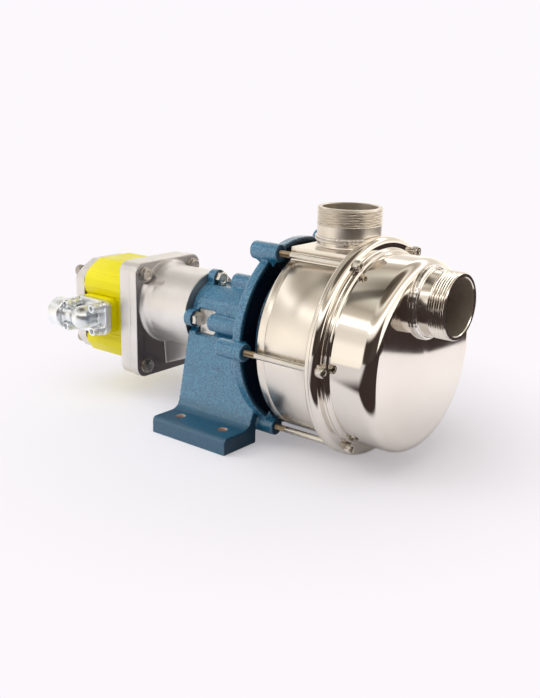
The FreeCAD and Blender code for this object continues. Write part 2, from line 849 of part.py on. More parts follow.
def adapter():
    """Cast bell housing: round nose face, barrel, square motor flange and the box below the barrel."""
    half, top, bottom = size("flange_half_width"), size("flange_top"), size("flange_bottom")
    outer = size("adapter_radius")
    bore = size("adapter_bore_radius")
    plate = new_body("Adapter_flange")
    flange_plate(plate, adapter_end, size("adapter_flange_thickness"), half, top, bottom)
    round_edges(plate, size("flange_corner_radius"), flange_corner(half, top, bottom))
    place(plate, z=shaft_height)
    barrel = new_body("Adapter_barrel")
    revolve(barrel, [
        (nose_start, bore),
        (nose_start, outer),
        (adapter_flange_front + 12, outer),
        (adapter_flange_front + 4, outer + 1.5),
        (adapter_flange_front - 1, outer + 5),
        (adapter_flange_front - 1, bore),
    ])
    place(barrel, z=shaft_height)
    middle = adapter_flange_front + size("adapter_box_length")
    box_drop = bottom - size("adapter_box_rise")
    lower = new_body("Adapter_box")
    pad(lower, outline(lower, "XZ_Plane", [
        (adapter_flange_front - 1, -20),
        (adapter_flange_front - 1, -box_drop - 26),
        (middle, -box_drop - 12),
        (middle, -20),
    ]), 2 * (outer - 3), midplane=True)
    pad(lower, outline(lower, "XZ_Plane", [
        (middle - 1, -20),
        (middle - 1, -box_drop - 10),
        (nose_start - 4, -box_drop),
        (nose_start - 4, -20),
    ]), 2 * (outer - 9), midplane=True)
    place(lower, z=shaft_height)
    cavity = new_body("Adapter_cavity")
    revolve(cavity, [
        (nose_start + 1, 0),
        (nose_start + 1, bore),
        (nose_start - 24, bore),
        (nose_start - 28, outer - 8),
        (adapter_end + size("pilot_depth"), outer - 8),
        (adapter_end + size("pilot_depth"), size("pilot_radius") + fit_gap),
        (adapter_end - 1, size("pilot_radius") + fit_gap),
        (adapter_end - 1, 0),
    ])
    place(cavity, z=shaft_height)
    tools = [cavity]
    for side in (-size("motor_bolt_y"), size("motor_bolt_y")):
        for rise in (size("motor_bolt_top"), -size("motor_bolt_bottom")):
            tools.append(cylinder(adapter_end - 1, side, shaft_height + rise, flange_bolt + 0.5,
                                  size("adapter_flange_thickness") + 2))
            tools.append(cylinder(adapter_flange_front, side, shaft_height + rise, BOLT_ROOM, 22))
    for number in range(NOSE_BOLT_COUNT):
        y, z = at_angle(size("boss_circle_radius"), 90 * number)
        tools.append(cylinder(nose_start - 16, y, shaft_height + z, flange_bolt + fit_gap, 17))
    name_part(cut(fuse([plate, barrel, lower]), tools), "adapter")


def motor_flange():
    """Cast front flange of the gear motor, with its pilot and shaft seal bore."""
    half = size("flange_half_width") - 1
    top, bottom = size("flange_top") - 0.5, size("flange_bottom") - 0.5
    plate = new_body("Motor_flange_plate")
    flange_plate(plate, motor_flange_end, size("motor_flange_thickness"), half, top, bottom)
    round_edges(plate, size("flange_corner_radius"), flange_corner(half, top, bottom))
    place(plate, z=shaft_height)
    pilot = cylinder(adapter_end - 1, 0, shaft_height, size("pilot_radius"), size("pilot_depth") + 0.5)
    seal_bore = gear_shaft + 6
    tools = [
        cylinder(motor_flange_end - 1, 0, shaft_height, gear_shaft + running_gap, 30),
        cylinder(adapter_end - 2, 0, shaft_height, seal_bore + fit_gap, 9),
    ]
    for side in (-size("motor_bolt_y"), size("motor_bolt_y")):
        for rise in (size("motor_bolt_top"), -size("motor_bolt_bottom")):
            tools.append(cylinder(motor_flange_end - 1, side, shaft_height + rise, flange_bolt + fit_gap,
                                  size("motor_flange_thickness") + 2))
    tools += motor_screw_holes(motor_flange_end - 1, 13)
    name_part(cut(fuse([plate, pilot]), tools), "motor_front_flange")
    lip = cut(cylinder(adapter_end - 2, 0, shaft_height, seal_bore, 7),
              [cylinder(adapter_end - 3, 0, shaft_height, gear_shaft + seal_gap, 9)])
    name_part(lip, "motor_shaft_seal")


def body_section():
    """Half of the motor body's outline, from its top to its bottom; it bulges at each gear."""
    half, waist, top = size("body_half_width"), size("body_waist"), size("body_top")
    low = -gear_distance
    return [
        (half - 24, top),
        (half - 8, top - 9.5),
        (half - 1.5, top / 2),
        (half, 12),
        (half - 1.5, 4),
        (waist, 0),
        (waist, low - 6),
        (half - 1.5, low - 14),
        (half - 2, low - 21),
        (half - 10, low - top + 7),
        (half - 26, low - top),
    ]


def both_sides(points):
    """A whole outline from the points of its +Y half."""
    return points + [(-as_size(y), z) for y, z in reversed(points)]


def motor_screw_places():
    across, rise = size("motor_screw_y"), size("motor_screw_rise")
    return [(y, z) for y in (-across, across) for z in (rise, 1 - gear_distance - rise)]


def motor_screw_holes(low, length):
    return [cylinder(low, y, shaft_height + z, flange_bolt + 0.3, length) for y, z in motor_screw_places()]


def motor_body():
    """Extruded gear housing with its two overlapping gear bores and a raised port pad each side."""
    housing = new_body("Housing")
    pad(housing, outline(housing, "YZ_Plane", both_sides(body_section()), body_end), size("body_length"))
    place(housing, z=shaft_height)
    pads = new_body("Port_pads")
    half_long, half_high = size("port_pad_length") / 2, size("port_pad_width") / 2
    pad(pads, outline(pads, "XZ_Plane", [
        (pad_middle - half_long, port_level - half_high),
        (pad_middle - half_long, port_level + half_high),
        (pad_middle + half_long, port_level + half_high),
        (pad_middle + half_long, port_level - half_high),
    ]), 2 * pad_face, midplane=True)
    round_edges(pads, size("port_pad_corner"), along_y)
    place(pads, z=shaft_height)
    bore = gear_outer_radius() + 0.25
    tools = [cylinder(body_end - 1, 0, shaft_height - drop, bore, size("body_length") + 2)
             for drop in (as_size(0), gear_distance)]
    tools.append(cylinder(pad_middle, -pad_face - 1, shaft_height + port_level, size("motor_port_radius"),
                          2 * pad_face + 2, "y"))
    tools += motor_screw_holes(body_end - 1, size("body_length") + 2)
    for x, z in elbow_screw_places():
        for side in (-1, 1):
            start = -pad_face - 1 if side < 0 else pad_face - 14
            tools.append(cylinder(x, start, z, tie_radius + fit_gap, 15, "y"))
    name_part(cut(fuse([housing, pads]), tools), "motor_body")


def on_rear_face(edge):
    """Whether an edge lies in the motor's rear face."""
    return all(near(vertex.Point.x, motor_end) for vertex in edge.Vertexes)


def motor_rear_cover():
    """Cast rear cover, closed, with through holes for the four long screws."""
    cover = new_body("Rear_cover")
    half, top = size("body_half_width") - 0.5, size("body_top") - 2
    points = [
        (half - 25.5, top),
        (half - 8.5, top - 9),
        (half, top / 2),
        (half, -gear_distance - top / 2 + 2),
        (half - 9.5, -gear_distance - top + 7),
        (half - 25.5, -gear_distance - top),
    ]
    pad(cover, outline(cover, "YZ_Plane", both_sides(points), motor_end), size("rear_cover_thickness"))
    round_edges(cover, 2.5 * EDGE, on_rear_face)
    place(cover, z=shaft_height)
    name_part(cut(cover, motor_screw_holes(motor_end - 1, 30)), "motor_rear_cover")


def motor_screws():
    """Four long socket screws that clamp the rear cover, body and front flange."""
    length = size("rear_cover_thickness") + size("body_length") + 10
    screws = [socket_screw(motor_end, y, shaft_height + z, flange_bolt, as_size(6.5), 2 * flange_bolt,
                           length, direction=-1) for y, z in motor_screw_places()]
    name_part(group(screws), "motor_screws")


def gear_module():
    return gear_distance / GEAR_TEETH


def gear_outer_radius():
    return gear_module() * (GEAR_TEETH / 2 + 1)


def involute_point(base, radius, start):
    """A point at this radius on the involute that leaves the base circle at an angle."""
    reach = math.acos(base / radius)
    angle = start + math.tan(reach) - reach
    return radius * math.cos(angle), radius * math.sin(angle)


def gear_shape(x, centre_z, tooth_first, shaft_low, shaft_high):
    """A spur gear with involute flanks on its shaft; the first tooth or gap points up or down."""
    module = gear_module().value
    pitch = module * GEAR_TEETH / 2
    pressure = math.radians(25)
    base = pitch * math.cos(pressure)
    outer = gear_outer_radius().value - 0.35
    root = pitch - 1.2 * module
    half_tooth = math.pi / (2 * GEAR_TEETH) - 0.06 / pitch
    start = half_tooth + math.tan(pressure) - pressure
    steps = 4
    flank = []
    for step in range(steps + 1):
        radius = max(base, root + 0.01) + (outer - max(base, root + 0.01)) * step / steps
        across, up = involute_point(base, radius, 0)
        flank.append((math.hypot(across, up), start - math.atan2(up, across)))
    tooth = [(root, -flank[0][1])] + [(radius, -angle) for radius, angle in flank]
    tooth += [(radius, angle) for radius, angle in reversed(flank)] + [(root, flank[0][1])]
    points = []
    for number in range(GEAR_TEETH):
        turn = 2 * math.pi * (number + (0 if tooth_first else 0.5)) / GEAR_TEETH
        for radius, angle in tooth:
            points.append(FreeCAD.Vector(0, radius * math.sin(turn + angle), radius * math.cos(turn + angle)))
    wire = Part.makePolygon(points + [points[0]])
    teeth = Part.Face(wire).extrude(X_AXIS * size("gear_width").value)
    teeth.translate(FreeCAD.Vector(x, 0, 0))
    length = shaft_high - shaft_low
    shaft = Part.makeCylinder(gear_shaft.value, length, FreeCAD.Vector(shaft_low, 0, 0), X_AXIS)
    gear = document.addObject("Part::Feature", "Gear")
    gear.Shape = teeth.fuse(shaft).removeSplitter()
    place(gear, z=shaft_height + centre_z)
    return gear


def motor_gears():
    """Drive gear on the output shaft and the driven gear below it, in mesh."""
    start = (body_middle - size("gear_width") / 2).value
    rear = body_end.value + 1
    drive = gear_shape(start, 0, True, rear, coupling_split().value - 1)
    name_part(drive, "drive_gear")
    driven = gear_shape(start, -gear_distance, GEAR_TEETH % 2 == 1, rear, motor_flange_end.value - 1)
    name_part(driven, "driven_gear")


def bushing_blocks():
    """Two figure-eight bushing blocks, one each side of the gears."""
    block_radius = gear_outer_radius() + 0.2
    half_gear = size("gear_width") / 2 + 0.15
    blocks = []
    for low, high in ((body_end, body_middle - half_gear), (body_middle + half_gear, motor_flange_end)):
        length = high - low
        block = fuse([cylinder(low, 0, shaft_height - drop, block_radius, length)
                      for drop in (as_size(0), gear_distance)])
        blocks.append(cut(block, [cylinder(low - 1, 0, shaft_height - drop, gear_shaft + fit_gap, length + 2)
                                  for drop in (as_size(0), gear_distance)]))
    name_part(group(blocks), "bushing_blocks")


def elbow_screw_places():
    half_x, half_z = size("elbow_screw_x") / 2, size("elbow_screw_z") / 2
    level = shaft_height + port_level
    return [(pad_middle + across, level + up) for across in (-half_x, half_x) for up in (-half_z, half_z)]


def port_elbow(side, label):
    """Flanged pipe elbow on one port pad: square flange, domed bend and a socket collar facing -X."""
    half_long, half_high = size("port_pad_length") / 2 + 1.5, size("port_pad_width") / 2
    thickness = size("elbow_flange_thickness")
    flange = new_body("Elbow_flange")
    pad(flange, outline(flange, "XZ_Plane", [
        (pad_middle - half_long, port_level - half_high),
        (pad_middle - half_long, port_level + half_high),
        (pad_middle + half_long, port_level + half_high),
        (pad_middle + half_long, port_level - half_high),
    ], -side * pad_face), thickness, backwards=side > 0)
    round_edges(flange, size("port_pad_corner"), along_y)
    place(flange, z=shaft_height)
    level = shaft_height + port_level
    bend = size("motor_port_radius") + 6
    collar = size("elbow_collar_radius")
    end = elbow_end
    neck_low = end + size("elbow_collar_length") - 1
    start = elbow_face - 1 if side > 0 else -elbow_axis
    turned = new_body("Elbow_collar")
    revolve(turned, [
        (end, 0),
        (end, collar - 2),
        (end + 2, collar),
        (neck_low, collar),
        (neck_low + 3, bend - 1),
        (pad_middle, bend - 1),
        (pad_middle, 0),
    ])
    place(turned, 0, side * elbow_axis, level)
    solids = [
        flange,
        cylinder(pad_middle, start, level, bend, elbow_axis - elbow_face + 1, "y"),
        sphere(pad_middle, side * elbow_axis, level, bend),
        turned,
    ]
    bore = size("motor_port_radius")
    bore_start = pad_face - 1 if side > 0 else -elbow_axis
    tools = [
        cylinder(pad_middle, bore_start, level, bore, elbow_axis - pad_face + 1, "y"),
        sphere(pad_middle, side * elbow_axis, level, bore),
        cylinder(end - 1, side * elbow_axis, level, bore, pad_middle - end + 1),
        cylinder(end - 1, side * elbow_axis, level, size("elbow_socket_radius"),
                 size("elbow_socket_depth") + 1),
    ]
    for x, z in elbow_screw_places():
        hole = pad_face - 1 if side > 0 else -elbow_face - 1
        tools.append(cylinder(x, hole, z, tie_radius + 0.3, thickness + 2, "y"))
        head = elbow_face if side > 0 else -elbow_face - 12
        tools.append(cylinder(x, head, z, size("screw_head_radius") + 0.8, 12, "y"))
    name_part(cut(fuse(solids), tools), label)


def elbow_screws():
    """Four socket screws in each elbow flange, on spring washers."""
    head = 2 * tie_radius
    washer = 1.6
    shank = size("elbow_flange_thickness") + 12
    screws = []
    for x, z in elbow_screw_places():
        for side in (-1, 1):
            seat = elbow_face if side > 0 else -elbow_face
            ring_low = seat if side > 0 else seat - washer
            head_low = seat + washer if side > 0 else seat - washer - head
            shank_low = seat - shank if side > 0 else seat
            socket_low = head_low + head * 0.4 if side > 0 else head_low - 0.01
            screw = fuse([
                cylinder(x, ring_low, z, size("screw_head_radius") + 0.4, washer, "y"),
                cylinder(x, head_low, z, size("screw_head_radius"), head, "y"),
                cylinder(x, shank_low, z, tie_radius, shank, "y"),
            ])
            screws.append(cut(screw, [cylinder(x, socket_low, z, tie_radius * 0.85, head * 0.6 + 0.01, "y")]))
    name_part(group(screws), "elbow_screws")


def coupling_split():
    """Where the two shaft ends meet inside the coupling sleeve."""
    return (nose_start + adapter_flange_front) / 2 - 6


def coupling_sleeve():
    """Keyed sleeve that joins the motor shaft to the pump shaft."""
    middle = coupling_split()
    low, high = middle - 20, middle + 24
    outer = size("sleeve_radius")
    sleeve = new_body("Sleeve")
    revolve(sleeve, [
        (low, gear_shaft + fit_gap),
        (low, outer - 2),
        (low + 2, outer),
        (high - 2, outer),
        (high, outer - 2),
        (high, size("coupled_shaft_radius") + fit_gap),
        (middle, size("coupled_shaft_radius") + fit_gap),
        (middle, gear_shaft + fit_gap),
    ])
    place(sleeve, z=shaft_height)
    name_part(sleeve, "coupling_sleeve")


def pump_shaft():
    """Stepped shaft with its two bearing seats, keyway, impeller seat and nut thread."""
    coupled = size("coupled_shaft_radius")
    sealed = size("seal_shaft_radius")
    seated = size("impeller_shaft_radius")
    threaded = size("nut_thread_radius")
    shoulder = bearing_bore + 2
    hub_end = impeller_back + size("shroud_thickness") + size("vane_height") + 3
    shaft = new_body("Shaft")
    revolve(shaft, [
        (coupling_split() + 1, 0),
        (coupling_split() + 1, coupled - 1),
        (coupling_split() + 2, coupled),
        (rear_bearing - 4, coupled),
        (rear_bearing - 4, bearing_bore),
        (rear_bearing + bearing_width, bearing_bore),
        (rear_bearing + bearing_width, shoulder),
        (front_bearing, shoulder),
        (front_bearing, bearing_bore),
        (disc_start - 1, bearing_bore),
        (disc_start - 1, sealed),
        (impeller_start, sealed),
        (impeller_start, seated),
        (hub_end, seated),
        (hub_end, threaded),
        (hub_end + 14, threaded),
        (hub_end + 15, threaded - 1),
        (hub_end + 15, 0),
    ])
    pocket(shaft, outline(shaft, "XZ_Plane", [
        (impeller_start + 2, seated - 2.5),
        (impeller_start + 2, seated + 1),
        (hub_end - 2, seated + 1),
        (hub_end - 2, seated - 2.5),
    ]), size("key_width"), midplane=True)
    place(shaft, z=shaft_height)
    name_part(shaft, "pump_shaft")
    half_key = size("key_width") / 2 - 0.02
    key = box((impeller_start + 2, -half_key, shaft_height + seated - 2.5),
              (hub_end - 2, half_key, shaft_height + seated + 2))
    name_part(key, "impeller_key")


def ball_bearings():
    """Two deep-groove ball bearings: outer rings, inner rings, and balls in their cages."""
    pitch = (bearing_radius + bearing_bore) / 2
    ball = size("ball_radius")
    groove = ball + 0.12
    land = ball * 0.72
    outers, inners, sets = [], [], []
    for low in (rear_bearing, front_bearing):
        middle = low + bearing_width / 2
        track = document.addObject("Part::Torus", "Track")
        track.Radius1 = pitch.value
        track.Radius2 = groove.value
        bind(track, "Radius1", pitch)
        bind(track, "Radius2", groove)
        place(track, middle, 0, shaft_height, FreeCAD.Rotation(Y_AXIS, 90))
        ring = cut(cylinder(low, 0, shaft_height, bearing_radius, bearing_width),
                   [cylinder(low - 1, 0, shaft_height, pitch + land, bearing_width + 2)])
        outers.append(cut(ring, [track]))
        ring = cut(cylinder(low, 0, shaft_height, pitch - land, bearing_width),
                   [cylinder(low - 1, 0, shaft_height, bearing_bore + fit_gap, bearing_width + 2)])
        inners.append(cut(ring, [track]))
        cage_low = middle - ball * 0.75
        cage = cut(cylinder(cage_low, 0, shaft_height, pitch + land - 1.2, ball * 1.5),
                   [cylinder(cage_low - 1, 0, shaft_height, pitch - land + 1.2, ball * 1.5 + 2)])
        balls = []
        for number in range(BALL_COUNT):
            y, z = at_angle(pitch, 360 / BALL_COUNT * number)
            balls.append(sphere(middle, y, shaft_height + z, ball))
        sets.append(fuse([cage] + balls))
    name_part(group(outers), "bearing_outer_rings")
    name_part(group(inners), "bearing_inner_rings")
    name_part(group(sets), "bearing_ball_cages")


def turned_ring(label, low, high, inner, outer):
    """A plain turned ring on the shaft line."""
    ring = new_body("Ring")
    revolve(ring, [(low, inner), (low, outer), (high, outer), (high, inner)])
    place(ring, z=shaft_height)
    name_part(ring, label)


def shaft_seals():
    """Circlip, oil seal, slinger and the two faces of the mechanical seal."""
    sealed = size("seal_shaft_radius")
    bore_end = disc_start - BORE_STEP + 1
    bearing_end = front_bearing + bearing_width
    turned_ring("bearing_circlip", bearing_end, bore_end, bearing_radius - 3, bearing_radius - fit_gap)
    turned_ring("oil_seal", disc_start, disc_start + 7, sealed + seal_gap, bearing_radius - 2 * BORE_STEP)
    turned_ring("slinger", disc_end + 2, disc_end + 7, sealed + fit_gap, sealed + 8)
    hub = size("hub_hole_radius")
    face = casing_start + 3 * sheet_thickness
    turned_ring("seal_seat", face - 6, face, sealed + running_gap, hub - fit_gap)
    turned_ring("seal_head", face + seal_gap, face + 7, sealed + fit_gap, hub - 2.5)


def seal_spring():
    """Closed coil spring between the seal's rotating head and the impeller hub."""
    sealed = size("seal_shaft_radius")
    wire = 1.0
    low = casing_start + 3 * sheet_thickness + 7.3 + wire
    high = impeller_start - 0.3 - wire
    spring = new_body("Spring")
    profile = circles(spring, "XY_Plane", [(low, sealed + 3, wire)])
    coil = spring.newObject("PartDesign::AdditiveHelix", "Coil")
    coil.Profile = profile
    coil.ReferenceAxis = (profile, ["H_Axis"])
    coil.Mode = 2
    coil.Height = (high - low).value
    bind(coil, "Height", high - low)
    coil.Turns = 2
    place(spring, z=shaft_height)
    name_part(spring, "seal_spring")


def impeller():
    """Open impeller: hub, back shroud and six swept vanes."""
    start, back = impeller_start, impeller_back
    hub, rim = size("hub_radius"), size("impeller_radius")
    face = back + size("shroud_thickness")
    tip = face + size("vane_height")
    bore = size("impeller_shaft_radius") + fit_gap
    wheel = new_body("Wheel")
    revolve(wheel, [
        (start, bore),
        (start, hub),
        (back, hub),
        (back, rim),
        (face, rim),
        (face, hub),
        (tip + 3, hub - 4),
        (tip + 3, bore),
    ])
    place(wheel, z=shaft_height)
    sweep = math.radians(55)
    vanes = []
    for number in range(VANE_COUNT):
        turn = 2 * math.pi * number / VANE_COUNT
        vanes.append(vane_shape(turn, sweep, face.value - 0.5, tip.value, hub.value - 4, rim.value))
    blades = document.addObject("Part::Feature", "Vanes")
    blades.Shape = Part.makeCompound(vanes)
    place(blades, z=shaft_height)
    half_key = size("key_width") / 2
    keyway = box((start - 1, -half_key, shaft_height), (tip + 4, half_key, shaft_height + bore + 2.3))
    name_part(cut(fuse([wheel, blades]), [keyway]), "impeller")


def vane_shape(turn, sweep, low, high, inner, outer):
    """One vane, an arc-shaped strip between two radii that leans back towards the rim."""
    half = size("vane_thickness").value / 2

    def place_on(radius, angle, shift):
        direction = turn + angle
        y = radius * math.cos(direction) - shift * math.sin(direction)
        z = radius * math.sin(direction) + shift * math.cos(direction)
        return FreeCAD.Vector(low, y, z)

    middle = (inner + outer) / 2
    stations = [(inner, 0), (middle, -sweep * 0.42), (outer - 1, -sweep)]
    left = [place_on(radius, angle, half) for radius, angle in stations]
    right = [place_on(radius, angle, -half) for radius, angle in stations]
    edges = [
        Part.Arc(*left).toShape(),
        Part.LineSegment(left[2], right[2]).toShape(),
        Part.Arc(*reversed(right)).toShape(),
        Part.LineSegment(right[0], left[0]).toShape(),
    ]
    return Part.Face(Part.Wire(edges)).extrude(X_AXIS * (high - low))


def impeller_nut():
    tip = impeller_back + size("shroud_thickness") + size("vane_height") + 3
    nut = cut(hexagon(tip + fit_gap, 0, shaft_height, size("nut_across_flats"), 9),
              [cylinder(tip - 1, 0, shaft_height, size("nut_thread_radius") + fit_gap, 12)])
    name_part(nut, "impeller_nut")


def diffuser():
    """Wear plate in front of the vanes with its suction eye and a rim that seats in the casing."""
    inner = casing_radius - sheet_thickness
    low = impeller_back + size("shroud_thickness") + size("vane_height") + running_gap
    thick = size("diffuser_thickness")
    plate = new_body("Plate")
    revolve(plate, [
        (low, size("eye_radius")),
        (low, inner - 0.2),
        (joint_plane - sheet_thickness - 0.3, inner - 0.2),
        (joint_plane - sheet_thickness - 0.3, inner - sheet_thickness),
        (low + thick, inner - sheet_thickness),
        (low + thick, size("eye_radius") + sheet_thickness),
        (low + thick + 8, size("eye_radius") + sheet_thickness),
        (low + thick + 8, size("eye_radius")),
    ])
    place(plate, z=shaft_height)
    port = cylinder(discharge_x, 0, shaft_height + inner - 2 * sheet_thickness, port_bore + 1,
                    casing_radius, "z")
    name_part(cut(plate, [port]), "diffuser")


bearing_bracket()
rear_casing()
front_cover()
saddle_plate()
ports()
casing_gasket()
tie_bolts()
flange_bolts()
adapter()
motor_flange()
motor_body()
motor_rear_cover()
motor_screws()
motor_gears()
bushing_blocks()
port_elbow(-1, "near_port_elbow")
port_elbow(1, "far_port_elbow")
elbow_screws()
coupling_sleeve()
pump_shaft()
ball_bearings()
shaft_seals()
seal_spring()
impeller()
impeller_nut()
diffuser()
document.recompute()

for item in document.Objects:
    if "Invalid" in item.State or "Error" in item.State:
        raise RuntimeError(f"{item.Label} did not build: {item.State}")
for part in PARTS:
    if part.Shape.isNull() or not part.Shape.isValid() or not part.Shape.Solids:
        raise RuntimeError(f"{part.Label} has no valid solid")

os.makedirs("parts", exist_ok=True)
for part in PARTS:
    part.Shape.exportStep(f"parts/{part.Label}.step")
    box_of = part.Shape.BoundBox
    low, high = (box_of.XMin, box_of.YMin, box_of.ZMin), (box_of.XMax, box_of.YMax, box_of.ZMax)
    extent = [round(number, 1) for number in low + high]
    print(part.Label, len(part.Shape.Solids), round(part.Shape.Volume), extent)
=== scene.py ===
import bpy
import bmesh
import json
import math
from mathutils import Matrix, Vector


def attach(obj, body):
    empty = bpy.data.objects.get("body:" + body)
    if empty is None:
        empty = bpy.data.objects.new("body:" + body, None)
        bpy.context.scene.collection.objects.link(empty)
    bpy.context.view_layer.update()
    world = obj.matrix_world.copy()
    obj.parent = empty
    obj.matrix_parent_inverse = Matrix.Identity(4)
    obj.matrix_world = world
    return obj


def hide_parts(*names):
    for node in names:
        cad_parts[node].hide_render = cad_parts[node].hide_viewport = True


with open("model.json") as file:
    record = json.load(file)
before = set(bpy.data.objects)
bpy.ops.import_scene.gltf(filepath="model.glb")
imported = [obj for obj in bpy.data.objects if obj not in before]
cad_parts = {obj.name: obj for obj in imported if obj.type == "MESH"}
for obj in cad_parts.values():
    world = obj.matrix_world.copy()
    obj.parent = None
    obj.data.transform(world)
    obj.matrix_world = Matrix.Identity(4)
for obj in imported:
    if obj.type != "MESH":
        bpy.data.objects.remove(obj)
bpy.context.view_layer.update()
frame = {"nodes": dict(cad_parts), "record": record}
NODES = frame["nodes"]
SLOT_OF = {entry["node"]: entry["material_slot"] for entry in frame["record"]["subparts"]}
MM = 0.001

# Measures of the part in millimetres: X along the shaft, Y to the far side, Z up from the foot
SHAFT = 103.0
COVER_FRONT = 194.0
SUCTION_RISE = 51.6
DISCHARGE_X = 107.0
DISCHARGE_FOOT = 199.0
PORT_BORE = 25.5
NECK_RADIUS = 29.3
THREAD_RADIUS = 29.8
TIE_CIRCLE = 96.5
NOSE_CIRCLE = 36.0
BOLT_FLATS = 12.9
FOOT_HOLE = (27.5, 82.5)
MOTOR_BACK = -210.0
MOTOR_FRONT = -151.0
MOTOR_END = -226.0
# four corners each: distances to the side, and rises above the shaft
MOTOR_BOLTS = ((-36.0, 36.0), (34.5, -65.5))
MOTOR_SCREWS = ((-32.0, 32.0), (23.0, -53.0))
# the gears' two bores, and the port with its elbow on either side
GEAR_CENTRES = 31.0
GEAR_BORE = 18.34
PORT_X = -183.5
PORT_LEVEL = 87.5
PORT_PAD = 53.0
ELBOW_FACE = 61.0
ELBOW_AXIS = 72.0
ELBOW_END = -223.5
ELBOW_SCREW = (17.8, 12.4)

# Ranges on the bracket in metres, where its paint gives way to bare metal or is painted darker as shade; four
# numbers are a range with a narrow ramp at both of its ends
POCKET_ALONG = (-0.0502, -0.0500, -0.0279, -0.0276)
POCKET_SIDE = (0.0286, 0.0289, 0.0294, 0.0302)
POCKET_RISE = (-0.0163, -0.0160, 0.0100, 0.0103)
DISC_FRONT = (0.050, 0.053)
DISC_RIM = (0.0875, 0.0905)
PAD_TOP = (0.017, 0.030)
HOLE_EDGE = (0.0047, 0.0050)
HOLE_TOP = (0.018, 0.020)

# The camera as fitted to the photograph: angles in degrees, lengths in millimetres
AZIMUTH, ELEVATION, ROLL = 38.43, 16.28, 1.29
DISTANCE, SHIFT_RIGHT, SHIFT_UP = 874.7, -70.6, -9.8
AIM = (108.0, 0.0, SHAFT)
SENSOR = 36.0
FOCAL_PIXELS, PICTURE_HEIGHT = 928.4, 698
# level directions towards that camera, and to its right
TO_CAMERA = (0.6216, -0.7833, 0.0)
TO_RIGHT = (0.7833, 0.6216, 0.0)

# Ways to turn a shape that is drawn along X
ALONG = Matrix.Identity(3)
UPRIGHT = Matrix.Rotation(math.radians(-90), 3, "Y")
TO_FAR = Matrix.Rotation(math.radians(90), 3, "Z")
TO_NEAR = Matrix.Rotation(math.radians(-90), 3, "Z")
BACKWARDS = Matrix.Rotation(math.radians(180), 3, "Z")


# Materials


def srgb(red, green, blue):
    """A colour as seen on screen, 0 to 255, turned into the shader's linear values."""
    def linear(value):
        value /= 255
        return value / 12.92 if value <= 0.04045 else ((value + 0.055) / 1.055) ** 2.4
    return (linear(red), linear(green), linear(blue), 1.0)


class Nodes:
    """Adds and links the nodes of one tree."""

    def __init__(self, tree):
        self.tree = tree

    def add(self, kind, settings=None, **inputs):
        """A node; its inputs go by name, or by number as i0, i1 and so on."""
        node = self.tree.nodes.new(kind)
        for key, value in (settings or {}).items():
            setattr(node, key, value)
        for key, value in inputs.items():
            numbered = key[0] == "i" and key[1:].isdigit()
            self.put(node.inputs[int(key[1:]) if numbered else key.replace("_", " ")], value)
        return node

    def put(self, socket, value):
        """Link an output to a socket, or set the socket's own value."""
        if isinstance(value, bpy.types.NodeSocket):
            self.tree.links.new(value, socket)
        else:
            socket.default_value = value

    def maths(self, operation, first, second=0.0):
        return self.add("ShaderNodeMath", {"operation": operation}, i0=first, i1=second).outputs[0]

    def both(self, first, second):
        return self.maths("MULTIPLY", first, second)

    def either(self, first, second):
        return self.maths("MAXIMUM", first, second)

    def minus(self, first, second):
        return self.maths("SUBTRACT", first, second)

    def vector_maths(self, operation, output, **inputs):
        return self.add("ShaderNodeVectorMath", {"operation": operation}, **inputs).outputs[output]

    def length(self, vector):
        return self.vector_maths("LENGTH", "Value", i0=vector)

    def dot(self, vector, direction):
        return self.vector_maths("DOT_PRODUCT", "Value", i0=vector, i1=direction)

    def part_of(self, vector, letter):
        """One coordinate of a vector."""
        return self.add("ShaderNodeSeparateXYZ", Vector=vector).outputs[letter]

    def remap(self, settings, value, numbers):
        """A value carried from one range over to another, and held at its ends."""
        node = self.add("ShaderNodeMapRange", settings, Value=value)
        for key, number in zip(("From Min", "From Max", "To Min", "To Max"), numbers):
            node.inputs[key].default_value = number
        return node.outputs["Result"]

    def ramp(self, value, low, high, first=0.0, last=1.0):
        """A straight rise from one value to another."""
        return self.remap({"clamp": True}, value, (low, high, first, last))

    def below(self, value, low, high):
        """One up to a lower limit and nothing past an upper one."""
        return self.ramp(value, low, high, 1.0, 0.0)

    def step(self, value, low, high, first=0.0, last=1.0):
        """A rise that starts and ends softly."""
        return self.remap({"interpolation_type": "SMOOTHSTEP"}, value, (low, high, first, last))

    def mix(self, factor, first, second):
        """Two colours mixed."""
        return self.add("ShaderNodeMix", {"data_type": "RGBA"}, i0=factor, i6=first, i7=second).outputs[2]

    def blend(self, factor, first, second):
        """Two surfaces mixed."""
        return self.add("ShaderNodeMixShader", i0=factor, i1=first, i2=second).outputs[0]


